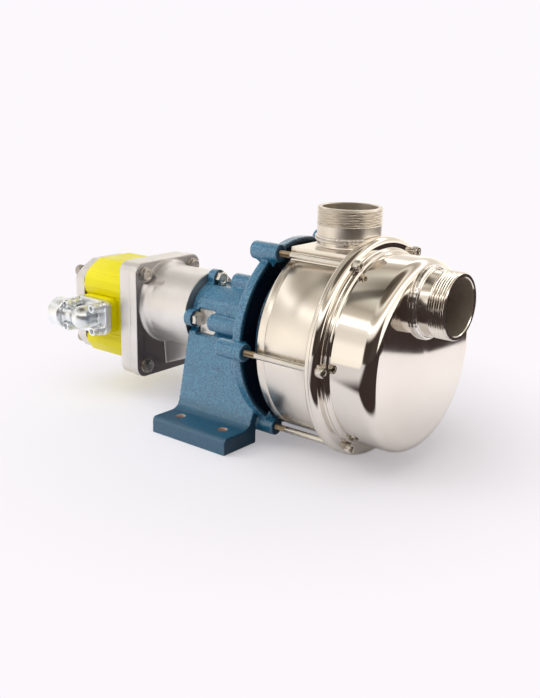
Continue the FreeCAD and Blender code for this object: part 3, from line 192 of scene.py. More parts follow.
class Shader(Nodes):
    """A Principled material whose patterns follow the object's own coordinates."""

    def __init__(self, name):
        self.material = bpy.data.materials.new(name)
        self.material.use_nodes = True
        super().__init__(self.material.node_tree)
        self.surface = self.tree.nodes["Principled BSDF"]
        self.where = self.add("ShaderNodeTexCoord").outputs["Object"]

    def set(self, **inputs):
        """Link or set inputs of the surface itself."""
        for key, value in inputs.items():
            self.put(self.surface.inputs[key.replace("_", " ")], value)

    def axis(self, letter):
        return self.part_of(self.where, letter)

    def facing_front(self):
        """How squarely the surface faces the suction end."""
        return self.part_of(self.add("ShaderNodeNewGeometry").outputs["Normal"], "X")

    def stretched(self, scale):
        """Object coordinates multiplied by a factor per axis."""
        return self.add("ShaderNodeMapping", Vector=self.where, Scale=scale).outputs["Vector"]

    def noise(self, scale, detail=3.0, rough=0.55, vector=None):
        node = self.add("ShaderNodeTexNoise", Vector=vector or self.where, Scale=scale, Detail=detail,
                        Roughness=rough)
        return node.outputs["Fac"]

    def patches(self, scale, detail=3.0):
        """Broad spots with fairly clear edges."""
        return self.ramp(self.noise(scale, detail), 0.3, 0.7)

    def inside(self, value, limits):
        """One within a range, with a narrow ramp at both of its ends."""
        return self.both(self.ramp(value, *limits[:2]), self.below(value, *limits[2:]))

    def tint(self, under, mask, weight, colour):
        """A colour laid over another where a mask says so."""
        return self.mix(self.both(mask, weight), under, colour)

    def bump(self, height, distance, strength=1.0, below=None):
        """A normal that follows a pattern, with a height in millimetres, over another one."""
        node = self.add("ShaderNodeBump", Height=height, Distance=distance * MM, Strength=strength)
        if below is not None:
            self.put(node.inputs["Normal"], below)
        return node.outputs["Normal"]

    def bulging_edges(self, low, high):
        """Bright where the surface bulges."""
        return self.ramp(self.add("ShaderNodeNewGeometry").outputs["Pointiness"], low, high)


def metal(name, base, other, rough, grain=0.0, lines=None, metallic=1.0, spread=9.0, turned=0.0,
          shaded_front=None):
    """Bare metal: patchy tone, uneven gloss and, where asked, grain, tool lines, a turned finish or painted
    shade on low faces that look towards the suction end.
    """
    shader = Shader(name)
    tone = shader.mix(shader.patches(spread, 4.0), (*base, 1), (*other, 1))
    # painted shade: faces that look towards the suction end are painted darker, more so lower down
    if shaded_front:
        lower_down = shader.ramp(shader.axis("Z"), 0.090, 0.145, 1.0, 0.6)
        end_on = shader.ramp(shader.facing_front(), 0.55, 0.85)
        tone = shader.mix(shader.both(end_on, lower_down), tone, (*shaded_front, 1))
    smear = shader.ramp(shader.noise(28.0, 5.0, 0.65), 0.25, 0.8, *rough)
    shader.set(Base_Color=tone, Metallic=metallic, Roughness=smear)
    normal = None
    if grain:
        normal = shader.bump(shader.noise(900.0, 2.0), grain)
    if lines:
        stretch, depth = lines
        normal = shader.bump(shader.noise(1.0, 2.0, vector=shader.stretched(stretch)), depth, below=normal)
    if normal is not None:
        shader.set(Normal=normal)
    if turned:
        around = shader.add("ShaderNodeTangent", {"direction_type": "RADIAL", "axis": "X"}).outputs[0]
        shader.set(Anisotropic=turned, Tangent=around)
    return shader.material


def hammered_blue():
    """Hammer-finish enamel with bare metal in the milled pockets and the foot's holes, painted shade on
    forward faces and the foot, and painted highlights along bulging edges.
    """
    shader = Shader("hammered_blue")
    along, height = shader.axis("X"), shader.axis("Z")
    side = shader.maths("ABSOLUTE", shader.axis("Y"))
    rise = shader.minus(height, SHAFT * MM)

    # the hammer finish itself, plainer on the foot, with the foot's paint darker as painted shade and painted
    # highlights along bulging edges
    cells = shader.add("ShaderNodeTexVoronoi", Vector=shader.where, Scale=620.0).outputs["Distance"]
    blots = shader.both(shader.noise(480.0, 3.0, 0.6), 1.1)
    speckle = shader.ramp(shader.maths("ADD", cells, blots), 0.74, 1.30)
    pad = shader.below(height, *PAD_TOP)
    edge = shader.both(shader.bulging_edges(0.515, 0.575), shader.ramp(shader.noise(160.0), 0.35, 0.6))
    paint = shader.mix(shader.patches(22.0), srgb(1, 68, 106), srgb(6, 82, 120))
    paint = shader.tint(paint, speckle, 0.5, srgb(74, 150, 176))
    # the foot's paint is plainer, and darker as painted shade standing in for the dark its top reflects
    paint = shader.tint(paint, pad, 0.85, srgb(0, 66, 92))
    # painted highlight along the bulging edges
    paint = shader.tint(paint, edge, 0.5, srgb(140, 180, 200))

    # painted shade: faces that look forward are painted darker, most of all the disc's recess between its rim
    # and the casing, and these shaded faces lose their coat and most of their specular
    front = shader.facing_front()
    end_on = shader.ramp(front, 0.5, 0.85)
    from_shaft = shader.length(shader.add("ShaderNodeCombineXYZ", X=0.0, Y=side, Z=rise).outputs[0])
    recess = shader.both(shader.ramp(along, *DISC_FRONT),
                         shader.both(shader.ramp(front, 0.45, 0.75), shader.below(from_shaft, *DISC_RIM)))
    painted_shade = shader.either(recess, shader.both(end_on, 0.7))
    paint = shader.tint(paint, end_on, 0.75, srgb(6, 30, 48))
    paint = shader.mix(recess, paint, srgb(4, 12, 26))

    # the foot's drilled holes show coppery metal
    from_hole = shader.length(shader.add(
        "ShaderNodeCombineXYZ", X=shader.minus(shader.maths("ABSOLUTE", along), FOOT_HOLE[0] * MM),
        Y=shader.minus(side, FOOT_HOLE[1] * MM), Z=0.0).outputs[0])
    drilled = shader.both(shader.below(from_hole, *HOLE_EDGE), shader.below(height, *HOLE_TOP))
    paint = shader.mix(drilled, paint, srgb(190, 160, 142))

    # the milled pockets are bare
    bare = shader.both(shader.inside(along, POCKET_ALONG),
                       shader.both(shader.inside(side, POCKET_SIDE), shader.inside(rise, POCKET_RISE)))
    milled = shader.mix(shader.noise(240.0), srgb(222, 212, 200), srgb(248, 243, 236))
    shader.set(Base_Color=shader.mix(bare, paint, milled), Metallic=shader.both(bare, 0.3))

    gloss = shader.ramp(shader.noise(300.0), 0.3, 0.7, 0.16, 0.28)
    shader.set(
        Roughness=shader.maths("ADD", gloss, shader.both(pad, 0.12)),
        Coat_Weight=shader.both(shader.minus(1.0, painted_shade), shader.minus(0.55, shader.both(pad, 0.35))),
        Coat_Roughness=0.10,
        Specular_IOR_Level=shader.minus(0.9, shader.both(painted_shade, 0.85)),
    )
    painted = shader.both(speckle, shader.minus(1.0, bare))
    lumps = shader.bump(shader.both(painted, shader.minus(1.0, shader.both(pad, 0.8))), 0.22)
    shader.set(Normal=shader.bump(shader.noise(90.0), 0.30, 0.5, below=lumps))
    return shader.material


def enamel(name, base, other, rough, bump=0.05):
    """Smooth paint with slight orange peel and uneven gloss."""
    shader = Shader(name)
    edge = shader.both(shader.bulging_edges(0.54, 0.64), shader.noise(200.0))
    tone = shader.mix(shader.patches(16.0, 4.0), base, other)
    shader.set(
        Base_Color=shader.tint(tone, edge, 0.25, srgb(250, 250, 190)),
        Roughness=shader.ramp(shader.noise(60.0), 0.3, 0.7, *rough),
        Coat_Weight=0.06, Coat_Roughness=0.12, Specular_IOR_Level=0.3,
        Normal=shader.bump(shader.noise(420.0, 2.0), bump),
    )
    return shader.material


def soft_black(name, tone, rough):
    """Rubber or carbon: near black, with dusty patches."""
    shader = Shader(name)
    dust = shader.ramp(shader.noise(120.0, 5.0), 0.35, 0.75)
    shader.set(
        Base_Color=shader.mix(dust, srgb(*tone), srgb(*(value + 22 for value in tone))),
        Roughness=shader.ramp(shader.noise(300.0), 0.3, 0.7, *rough),
        Normal=shader.bump(shader.noise(700.0), 0.04),
    )
    return shader.material


LOOKS = {
    "blue_paint": hammered_blue(),
    "satin_stainless": metal("satin_stainless", (0.77, 0.71, 0.635), (0.82, 0.77, 0.70), (0.22, 0.29),
                             lines=((900.0, 3.0, 3.0), 0.010), spread=4.0, turned=0.45),
    "polished_stainless": metal("polished_stainless", (0.74, 0.69, 0.63), (0.79, 0.745, 0.69), (0.05, 0.10)),
    "bright_steel": metal("bright_steel", (0.60, 0.56, 0.50), (0.72, 0.68, 0.62), (0.16, 0.34),
                          grain=0.015, spread=60.0),
    "bearing_steel": metal("bearing_steel", (0.70, 0.69, 0.68), (0.78, 0.78, 0.77), (0.05, 0.14),
                           grain=0.004),
    "cast_aluminium": metal("cast_aluminium", (0.66, 0.635, 0.615), (0.76, 0.74, 0.725), (0.30, 0.42),
                            grain=0.08, metallic=0.8, spread=26.0, shaded_front=(0.17, 0.14, 0.14)),
    "yellow_paint": enamel("yellow_paint", srgb(226, 214, 6), srgb(218, 205, 2), (0.34, 0.48)),
    "zinc_plate": metal("zinc_plate", (0.74, 0.78, 0.81), (0.90, 0.92, 0.93), (0.24, 0.42),
                        grain=0.05, spread=55.0),
    "black_rubber": soft_black("black_rubber", (16, 16, 17), (0.55, 0.75)),
    "seal_ceramic": enamel("seal_ceramic", srgb(236, 232, 222), srgb(226, 220, 208), (0.1, 0.2), 0.01),
    "seal_carbon": soft_black("seal_carbon", (24, 24, 26), (0.35, 0.5)),
}
TAN_THREAD = metal("tan_thread", (0.42, 0.33, 0.22), (0.52, 0.42, 0.29), (0.3, 0.5), grain=0.05, spread=80.0)
DARK_STEEL = metal("dark_steel", (0.34, 0.31, 0.28), (0.50, 0.46, 0.42), (0.2, 0.38), grain=0.02, spread=90.0)
WELD_METAL = metal("weld_metal", (0.70, 0.66, 0.62), (0.86, 0.84, 0.82), (0.14, 0.26), grain=0.02,
                   spread=140.0)
SUCTION_PIPE = metal("suction_pipe", (0.74, 0.69, 0.62), (0.80, 0.75, 0.69), (0.10, 0.18), spread=30.0)
SATIN_PIPE = metal("satin_pipe", (0.68, 0.62, 0.545), (0.77, 0.72, 0.65), (0.30, 0.40), spread=30.0)
# darker metal for the pipes' bores
DARKER_BORE = metal("bore_metal", (0.36, 0.30, 0.23), (0.50, 0.43, 0.35), (0.36, 0.5), grain=0.03,
                       metallic=0.6, spread=30.0)


def paint(item, look):
    """Give an object one look, by name or as a material."""
    item.data.materials.clear()
    item.data.materials.append(LOOKS[look] if isinstance(look, str) else look)
    return item


def smooth(item, degrees=32.0):
    """Shade smoothly, but keep edges sharper than an angle."""
    item.data.shade_smooth()
    item.data.set_sharp_from_angle(angle=math.radians(degrees))
    return item


for label, item in NODES.items():
    paint(item, SLOT_OF[label])
    smooth(item)


# Shapes


def new_object(name, verts, faces, look):
    """A clean mesh from corners in millimetres."""
    mesh = bpy.data.meshes.new(name)
    mesh.from_pydata([(x * MM, y * MM, z * MM) for x, y, z in verts], [], faces)
    work = bmesh.new()
    work.from_mesh(mesh)
    bmesh.ops.remove_doubles(work, verts=work.verts, dist=1e-7)
    bmesh.ops.dissolve_degenerate(work, edges=work.edges, dist=1e-7)
    bmesh.ops.recalc_face_normals(work, faces=work.faces)
    work.to_mesh(mesh)
    work.free()
    item = bpy.data.objects.new(name, mesh)
    bpy.context.scene.collection.objects.link(item)
    paint(item, look)
    return smooth(item)


def rounded(points, steps=6):
    """An outline whose corners given as (a, b, radius) are rounded."""
    out = []
    count = len(points)
    for index, point in enumerate(points):
        here = Vector(point[:2])
        radius = point[2] if len(point) > 2 else 0.0
        if not radius:
            out.append((here.x, here.y))
            continue
        before = Vector(points[index - 1][:2]) - here
        after = Vector(points[(index + 1) % count][:2]) - here
        angle = before.angle(after) / 2
        reach = min(radius / math.tan(angle), before.length * 0.49, after.length * 0.49)
        radius = reach * math.tan(angle)
        centre = here + (before.normalized() + after.normalized()).normalized() * radius / math.sin(angle)
        first = here + before.normalized() * reach - centre
        last = here + after.normalized() * reach - centre
        turn = first.angle_signed(last)
        for step in range(steps + 1):
            spot = first.copy()
            spot.rotate(Matrix.Rotation(-turn * step / steps, 2))
            out.append((centre.x + spot.x, centre.y + spot.y))
    return out


def lathe(name, profile, look, at=(0, 0, SHAFT), turn=ALONG, steps=160, push=None):
    """A closed (x, radius) outline spun about X, then turned and moved; push shifts each of its points."""
    count = len(profile)
    verts, faces = [], []
    for step in range(steps):
        angle = 2 * math.pi * step / steps
        for x, radius in profile:
            extra_x, extra = push(x, radius, angle) if push else (0.0, 0.0)
            reach = radius + extra
            spot = turn @ Vector((x + extra_x, reach * math.cos(angle), reach * math.sin(angle)))
            verts.append((spot.x + at[0], spot.y + at[1], spot.z + at[2]))
    for step in range(steps):
        this, other = step * count, (step + 1) % steps * count
        for index in range(count):
            after = (index + 1) % count
            faces.append((this + index, this + after, other + after, other + index))
    return new_object(name, verts, faces, look)


def ring_mesh(name, rings, look):
    """A skin over rings of equally many points, closed at both ends."""
    count = len(rings[0])
    verts = [spot for ring in rings for spot in ring]
    faces = []
    for level in range(len(rings) - 1):
        this, other = level * count, (level + 1) * count
        for index in range(count):
            after = (index + 1) % count
            faces.append((this + index, this + after, other + after, other + index))
    faces.append(tuple(range(count)))
    faces.append(tuple(range(len(verts) - count, len(verts))))
    return new_object(name, verts, faces, look)


def prism(name, outline, low, high, look):
    """A (y, z) outline run along X between two stations."""
    return ring_mesh(name, [[(x, y, z) for y, z in outline] for x in (low, high)], look)


def port_plate(name, half_length, near, far, look, edge):
    """A plate with rounded corners around the motor's port, between two distances to the side."""
    half_height, corner = 19.0, 7.0
    back, front = PORT_X - half_length, PORT_X + half_length
    bottom, top = PORT_LEVEL - half_height, PORT_LEVEL + half_height
    outline = rounded([(back, bottom, corner), (back, top, corner), (front, top, corner),
                       (front, bottom, corner)], 8)
    plate = ring_mesh(name, [[(x, y, z) for x, z in outline] for y in (near, far)], look)
    return soften_edges(plate, edge)


def rod(name, radius, length, at, turn=ALONG, steps=96, look="bright_steel"):
    """A plain cylinder from a point along X, or along a turned X."""
    return lathe(name, [(0, 0), (0, radius), (length, radius), (length, 0)], look, at, turn, steps)


def ball(name, radius, at, look):
    arc = [(-radius * math.cos(math.pi * step / 24), radius * math.sin(math.pi * step / 24))
           for step in range(25)]
    return lathe(name, arc, look, at, steps=48)


def soften_edges(item, width, degrees=35.0):
    """Bevel the edges that are sharper than an angle."""
    bevel = item.modifiers.new("edge", "BEVEL")
    bevel.width = width * MM
    bevel.segments = 3
    bevel.limit_method = "ANGLE"
    bevel.angle_limit = math.radians(degrees)
    return item


def settle(item):
    """Turn an object's modifiers into its mesh."""
    bpy.context.view_layer.update()
    graph = bpy.context.evaluated_depsgraph_get()
    mesh = bpy.data.meshes.new_from_object(item.evaluated_get(graph))
    item.modifiers.clear()
    item.data = mesh
    return item


def carve(item, *cutters):
    """Cut other objects out of one, and delete them."""
    for cutter in cutters:
        change = item.modifiers.new("cut", "BOOLEAN")
        change.operation = "DIFFERENCE"
        change.solver = "EXACT"
        change.object = cutter
    settle(item)
    for cutter in cutters:
        bpy.data.objects.remove(cutter)
    return smooth(item)


def cast_skin(item, voxel, passes):
    """Remesh a solid evenly and relax its corners, as a mould leaves them."""
    remesh = item.modifiers.new("skin", "REMESH")
    remesh.mode = "VOXEL"
    remesh.voxel_size = voxel * MM
    relax = item.modifiers.new("relax", "SMOOTH")
    relax.factor = 0.5
    relax.iterations = passes
    return settle(item)


def join(name, pieces):
    """One object out of several."""
    bpy.ops.object.select_all(action="DESELECT")
    for piece in pieces:
        piece.select_set(True)
    bpy.context.view_layer.objects.active = pieces[0]
    bpy.ops.object.join()
    pieces[0].name = name
    return pieces[0]


def put_on(item, *labels):
    """Let a finished piece stand for its solids and move with the pump."""
    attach(item, "pump")
    if labels:
        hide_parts(*labels)
    return item


# Stainless casing and cover


def bore_cutter(at, turn, length, radius=PORT_BORE):
    return rod("cutter", radius, length, at, turn, steps=128)


def build_casing():
    """The drawn casing: two fine beads, a clamped flange, and the opening under the saddle plate."""
    shell = rounded([
        (72.5, 19.5), (72.5, 90, 2.5), (82.2, 90), (82.7, 89.82), (83.2, 90), (129.5, 90), (130.0, 89.85),
        (130.5, 90), (135, 90, 1.6), (135, 102, 2.6), (140, 102, 0.3), (140, 91), (137, 91), (137, 87),
        (75.5, 87, 3.5), (75.5, 22.5), (82, 22.5), (82, 19.5),
    ])
    item = lathe("casing_shell", shell, "satin_stainless", steps=224)
    carve(item, bore_cutter((DISCHARGE_X, 0, SHAFT + 70), UPRIGHT, 40),
          bore_cutter((DISCHARGE_X, 0, SHAFT + 90.7), UPRIGHT, 40, 31.2))
    put_on(item, "rear_casing")


def build_cover():
    """The drawn cover: a rolled rim, a stepped neck and a polished face with the suction opening."""
    brow = [(141.0 + 6.0 * math.sin(angle), 96.6 + 5.4 * math.cos(angle))
            for angle in (math.radians(9 * step) for step in range(11))]
    shell = rounded([(140, 87), (140, 102, 0.3)] + brow + [
        (147.0, 92.4, 1.2), (148.0, 91.2, 0.8), (149.4, 91.9, 0.8), (150.8, 91.4, 0.9), (151.7, 89.5, 0.7),
        (153.2, 88.95, 0.8), (194, 88.5, 12), (194, 0), (191, 0), (191, 85.5, 9),
    ], steps=9)
    flat, hollow = 80, 0.10

    def dish(x, radius, angle):
        """The face is pressed very slightly hollow."""
        face = max(0.0, (x - 190.5) / 3.5) if radius < flat else 0.0
        return -hollow * face * (1 - (radius / flat) ** 2), 0.0

    item = lathe("cover_shell", shell, "polished_stainless", steps=256, push=dish)
    carve(item, bore_cutter((185, 0, SHAFT + SUCTION_RISE), ALONG, 20))
    put_on(item, "front_cover")


def nipple(name, label, at, turn, weld, look):
    """Pipe end with a rolled thread; the bore is a darker inside face."""
    pitch, depth = 2.309, 1.15
    length, start = 30.0, 14.0
    samples = int((length - start) / pitch * 10)
    profile = [(0.0, PORT_BORE), (0.0, NECK_RADIUS + weld), (weld * 0.6, NECK_RADIUS + weld * 0.95),
               (weld * 1.4, 29.5), (weld * 2, NECK_RADIUS), (start - 0.4, NECK_RADIUS)]
    profile += [(start + (length - 0.9 - start) * step / samples, THREAD_RADIUS)
                for step in range(samples + 1)]
    profile += [(length, 28.8), (length, PORT_BORE + 0.7), (length - 0.7, PORT_BORE)]

    def thread(x, radius, angle):
        if radius < THREAD_RADIUS - 0.01 or x < start:
            return 0.0, 0.0
        phase = (x / pitch - angle / (2 * math.pi)) % 1.0
        ridge = abs(2 * phase - 1)
        fade = min(1.0, (x - start) / 1.5, (length - 0.6 - x) / 1.0)
        return 0.0, -depth * min(1.0, max(0.0, ridge * 1.25 - 0.1)) * max(0.0, fade)

    item = lathe(name, profile, look, at, turn, 144, thread)
    item.data.materials.append(DARKER_BORE)
    centre = Vector(at) * MM
    direction = turn @ Vector((1, 0, 0))
    for face in item.data.polygons:
        offset = face.center - centre
        reach = (offset - direction * offset.dot(direction)).length
        if reach < (PORT_BORE + 0.3) * MM:
            face.material_index = 1
    put_on(item, label)


def weld_bead(name, at, turn, radius, thick, count, wander, chop, squeeze=1.0):
    """A ring of overlapping weld ripples."""
    corners = 14
    section = [(thick * squeeze * math.cos(angle), radius + thick * math.sin(angle))
               for angle in (2 * math.pi * corner / corners for corner in range(corners))]

    def ripple(x, reach, angle):
        wave = (chop * thick * math.cos(angle * count) + wander * math.sin(3 * angle + 1.0)
                + wander * 0.6 * math.sin(7 * angle))
        outward = (reach - radius) / thick
        lean = 0.7 * chop * thick * math.sin(angle * count + 1.3)
        return lean, wave * (0.35 + 0.65 * max(outward, 0.0))

    item = lathe(name, section, WELD_METAL, at, turn, 320, ripple)
    put_on(item)


build_casing()
build_cover()
SUCTION = (COVER_FRONT, 0, SHAFT + SUCTION_RISE)
DISCHARGE = (DISCHARGE_X, 0, DISCHARGE_FOOT)
nipple("suction_pipe", "suction_nipple", SUCTION, ALONG, 3.5, SUCTION_PIPE)
nipple("discharge_pipe", "discharge_nipple", DISCHARGE, UPRIGHT, 1.6, SATIN_PIPE)
weld_bead("suction_weld", (COVER_FRONT + 1.7, 0, SHAFT + SUCTION_RISE), ALONG, 31.0, 2.4, 44, 0.3, 0.02,
          squeeze=1.25)
weld_bead("discharge_weld_low", (DISCHARGE_X, 0, DISCHARGE_FOOT + 0.2), UPRIGHT, 29.6, 1.35, 52, 0.12, 0.1)
weld_bead("discharge_weld_high", (DISCHARGE_X, 0, DISCHARGE_FOOT + 2.9), UPRIGHT, 29.5, 1.25, 46, 0.15, 0.1)
soften_edges(NODES["saddle_plate"], 0.5)


# Fasteners


def hexagon_reach(angle, flats, turn=0.0):
    """How far a hexagon's side lies from its centre in one direction."""
    step = math.pi / 3
    return flats / 2 / math.cos(((angle + turn) % step) - step / 2)


def head(name, at, turn, count, rings, look):
    """A bolt head from rings given as height and radius, each a number or a function of the angle."""
    placed = []
    for height, reach in rings:
        ring = []
        for angle in (2 * math.pi * index / count for index in range(count)):
            x = height(angle) if callable(height) else height
            out = reach(angle) if callable(reach) else reach
            spot = turn @ Vector((x, out * math.cos(angle), out * math.sin(angle)))
            ring.append((spot.x + at[0], spot.y + at[1], spot.z + at[2]))
        placed.append(ring)
    return ring_mesh(name, placed, look)


def socket_head(name, at, turn, radius, height, flats, look):
    """Cylindrical head with a chamfered, knurled side and a hexagon socket."""
    ridges, ridge = 24, 0.12

    def knurl(angle):
        return radius - ridge + ridge * math.cos(angle * ridges)

    def socket(angle):
        return hexagon_reach(angle, flats)

    def lip(angle):
        return socket(angle) + 0.25

    return head(name, at, turn, 96, [
        (0.0, radius - 0.3), (0.35, knurl), (height - 0.9, knurl), (height - 0.6, radius - 0.2),
        (height, radius - 0.7), (height, lip), (height - 0.3, socket), (height * 0.42, socket),
        (height * 0.34, 0.4),
    ], look)


def hex_head(name, at, height, spin, look):
    """Hexagon head with turned-down corners and a dished top ring."""
    half = BOLT_FLATS / 2

    def corner(angle):
        return hexagon_reach(angle, BOLT_FLATS, spin)

    def slope(angle):
        return height - 0.55 * (corner(angle) - half) - 0.1

    return head(name, at, ALONG, 48, [
        (0.0, corner), (slope, corner), (height, half * 0.94), (height - 0.05, half * 0.66),
        (height - 0.4, half * 0.58), (height - 0.4, 0.3),
    ], look)


def washer(name, at, turn, inner, outer, thick, look):
    section = rounded([(0, inner), (0, outer, 0.3), (thick, outer, 0.3), (thick, inner)], 3)
    return lathe(name, section, look, at, turn, 48)


def threaded(name, at, radius, length, pitch, depth, look):
    """A rod with a helical thread."""
    samples = int(length / pitch * 6)
    profile = [(0, 0)] + [(length * step / samples, radius) for step in range(samples + 1)] + [(length, 0)]

    def groove(x, reach, angle):
        if reach < radius:
            return 0.0, 0.0
        phase = (x / pitch - angle / (2 * math.pi)) % 1.0
        return 0.0, -depth * abs(2 * phase - 1)

    return lathe(name, profile, look, at, steps=20, push=groove)


def on_circle(radius, count):
    """Centres of evenly spaced bolts around the shaft."""
    angles = [math.radians(360 / count * number) for number in range(count)]
    return [(radius * math.cos(angle), SHAFT + radius * math.sin(angle)) for angle in angles]


def at_corners(pattern):
    """Centres of four bolts, from their distances to the side and above the shaft."""
    sides, rises = pattern
    return [(y, SHAFT + rise) for y in sides for rise in rises]


def build_tie_bolts():
    """Socket screws from the cover's ring to the bracket's lugs, with their threads showing behind."""
    shank = rounded([(78, 0), (78, 2.95, 0.4), (147, 2.95), (147, 0)], 3)
    pieces = []
    for y, z in on_circle(TIE_CIRCLE, 6):
        pieces.append(socket_head("tie_head", (147.0, y, z), ALONG, 5.0, 6.0, 5.0, "bright_steel"))
        pieces.append(lathe("tie_shank", shank, "bright_steel", (0, y, z), steps=28))
        pieces.append(threaded("tie_thread", (45.5, y, z), 2.95, 33.0, 1.0, 0.45, TAN_THREAD))
    put_on(join("tie_bolt_set", pieces), "tie_bolts")


def build_nose_bolts():
    """Hexagon bolts from the bracket into the adapter."""
    pieces = []
    for number, (y, z) in enumerate(on_circle(NOSE_CIRCLE, 4)):
        spin = math.pi / 6 * (1 + number % 2)
        pieces.append(hex_head("nose_head", (-50.0, y, z), 5.3, spin, "bright_steel"))
        pieces.append(rod("nose_shank", 4.0, 24.0, (-74, y, z), steps=32))
    put_on(join("nose_bolt_set", pieces), "nose_bolts")


def build_motor_bolts():
    """Hexagon bolts with washers that hold the motor's flange, each left at an angle of its own."""
    pieces = []
    for y, z in at_corners(MOTOR_BOLTS):
        pieces.append(washer("motor_washer", (-124.0, y, z), ALONG, 4.0, 7.9, 1.3, DARK_STEEL))
        pieces.append(hex_head("motor_head", (-122.7, y, z), 4.0, 0.4 * (z - SHAFT), DARK_STEEL))
        pieces.append(rod("motor_shank", 4.0, 25.0, (-149, y, z), steps=32))
    put_on(join("motor_bolt_set", pieces), "motor_bolts")


def build_motor_screws():
    """Long socket screws in the motor's rear cover."""
    pieces = []
    for y, z in at_corners(MOTOR_SCREWS):
        at = (MOTOR_END, y, z)
        pieces.append(socket_head("long_head", at, BACKWARDS, 6.5, 8.0, 6.0, DARK_STEEL))
        pieces.append(rod("long_shank", 4.0, 85.0, at, steps=24))
    put_on(join("motor_screw_set", pieces), "motor_screws")


build_tie_bolts()
build_nose_bolts()
build_motor_bolts()
build_motor_screws()


# Castings


def cast(label, voxel, passes, *cutters):
    """The node's own solid with softened corners, and with cutters taken out of it first."""
    item = bpy.data.objects.new(label + "_casting", NODES[label].data.copy())
    bpy.context.scene.collection.objects.link(item)
    if cutters:
        carve(item, *cutters)
    paint(cast_skin(item, voxel, passes), SLOT_OF[label])
    item.data.shade_smooth()
    put_on(item, label)


def beside_rib(side):
    """What is cleared away beside the drafted rib that props the adapter's barrel on its flange."""
    outline = [(side * 9.5, SHAFT - 5.0), (side * 60.0, SHAFT - 5.0), (side * 60.0, SHAFT - 90.0),
               (side * 4.5, SHAFT - 90.0), (side * 9.0, SHAFT - 41.0)]
    block = prism("beside_rib", outline, -123.6, -58.0, "cast_aluminium")
    barrel = lathe("barrel", [(-130, 0), (-130, 47), (-125, 46), (-120, 43), (-112, 41.6), (-50, 41.4),
                              (-50, 0)], "cast_aluminium")
    return carve(block, barrel)


cast("bearing_bracket", 0.85, 7)
cast("adapter", 0.7, 8, beside_rib(-1), beside_rib(1))
cast("motor_front_flange", 0.7, 8)
cast("motor_rear_cover", 0.7, 8)


# Gear motor body and port elbows


def build_motor_body():
    """The faceted housing with a pad at each port, and the two overlapping bores of its gears."""
    half = [
        (22, 39, 2), (38, 29.5, 3), (39.2, 27.6, 0.6), (41.2, 26.4, 1), (44.5, 20, 2), (46, 12, 3),
        (44.5, 5, 2), (42.8, 3.2, 0.8), (42.8, 1.2, 0.8), (42, 0, 0.5), (42, -37, 0.5), (42.8, -38.4, 0.8),
        (42.8, -40.6, 0.8), (44.5, -45, 3), (44, -52, 3), (36, -63, 2), (20, -70, 3),
    ]
    whole = half + [(-y, rise, corner) for y, rise, corner in reversed(half)]
    outline = [(y, rise + SHAFT) for y, rise in rounded(whole, 5)]
    housing = soften_edges(prism("motor_housing", outline, MOTOR_BACK, MOTOR_FRONT, "yellow_paint"), 0.35, 50)
    pads = [port_plate("port_pad", 24.0, side * 40.0, side * PORT_PAD, "yellow_paint", 0.6)
            for side in (-1, 1)]
    for piece in [housing] + pads:
        smooth(settle(piece))
    carve(housing, *[rod("gear_bore", GEAR_BORE, 61.0, (MOTOR_BACK - 1, 0, height))
                     for height in (SHAFT, SHAFT - GEAR_CENTRES)])
    put_on(join("motor_housing", [housing] + pads), "motor_body")


def build_elbow(side, label):
    """Forged elbow: plate, domed bend and a turned socket collar; returns its screws."""
    look, turn = "zinc_plate", TO_FAR if side > 0 else TO_NEAR
    axis, face = side * ELBOW_AXIS, side * ELBOW_FACE
    sunk = face - side * 0.2
    neck_start, arm_length = 54.0, 24.0
    root = [(0, 0), (0, 14.5), (1.5, 12.8), (5, 11.5), (5, 0)]
    arm = [(0, 0), (0, 14.6), (1.2, 13.6), (2.6, 9.8), (13, 9.4), (20, 10.4), (arm_length, 11.6),
           (arm_length, 0)]
    body = [
        settle(port_plate("elbow_plate", 25.5, side * PORT_PAD, face, look, 0.8)),
        rod("elbow_neck", 12.4, ELBOW_AXIS - neck_start, (PORT_X, side * neck_start, PORT_LEVEL), turn, 48,
            look),
        lathe("elbow_root", root, look, (PORT_X, sunk, PORT_LEVEL), turn, 48),
        ball("elbow_ball", 12.6, (PORT_X, axis, PORT_LEVEL), look),
        lathe("elbow_arm", arm, look, (PORT_X - arm_length, axis, PORT_LEVEL), steps=48),
    ]
    screws = []
    # the two rear screws stand higher and a little further back, clear of the bend
    for x, rise in ((PORT_X - ELBOW_SCREW[0] - 1.0, 5.0), (PORT_X + ELBOW_SCREW[0], 0.0)):
        for z in (PORT_LEVEL - ELBOW_SCREW[1], PORT_LEVEL + ELBOW_SCREW[1]):
            body.append(rod("elbow_boss", 5.9, 5.2 + rise, (x, sunk, z), turn, 40, look))
            seat = face + side * (5.0 + rise)
            screws.append(washer("elbow_washer", (x, seat, z), turn, 3.2, 5.3, 1.6, look))
            screws.append(socket_head("elbow_head", (x, seat + side * 1.7, z), turn, 5.0, 7.5, 5.0, look))
            screws.append(rod("elbow_shank", 3.0, 19.0, (x, side * (43.0 + rise), z), turn, 20, look))
    forging = cast_skin(join(label + "_forging", body), 0.55, 5)
    carve(forging, rod("cutter", 8.0, 16.0, (PORT_X - arm_length - 2.0, axis, PORT_LEVEL), steps=48))
    forging.data.shade_smooth()
    section = rounded([(0, 9.3, 0.5), (0, 15.0, 0.3), (1.6, 16.5, 0.5), (16.6, 16.5, 0.8), (17.6, 15.0, 0.3),
                       (17.6, 9.3)], 4)
    collar = lathe("elbow_collar", section, look, (ELBOW_END, axis, PORT_LEVEL), steps=96)
    put_on(join(label + "_forging", [paint(forging, look), collar]), label)
    return screws


build_motor_body()
put_on(join("elbow_screw_set", build_elbow(-1, "near_port_elbow") + build_elbow(1, "far_port_elbow")),
       "elbow_screws")


# Studio


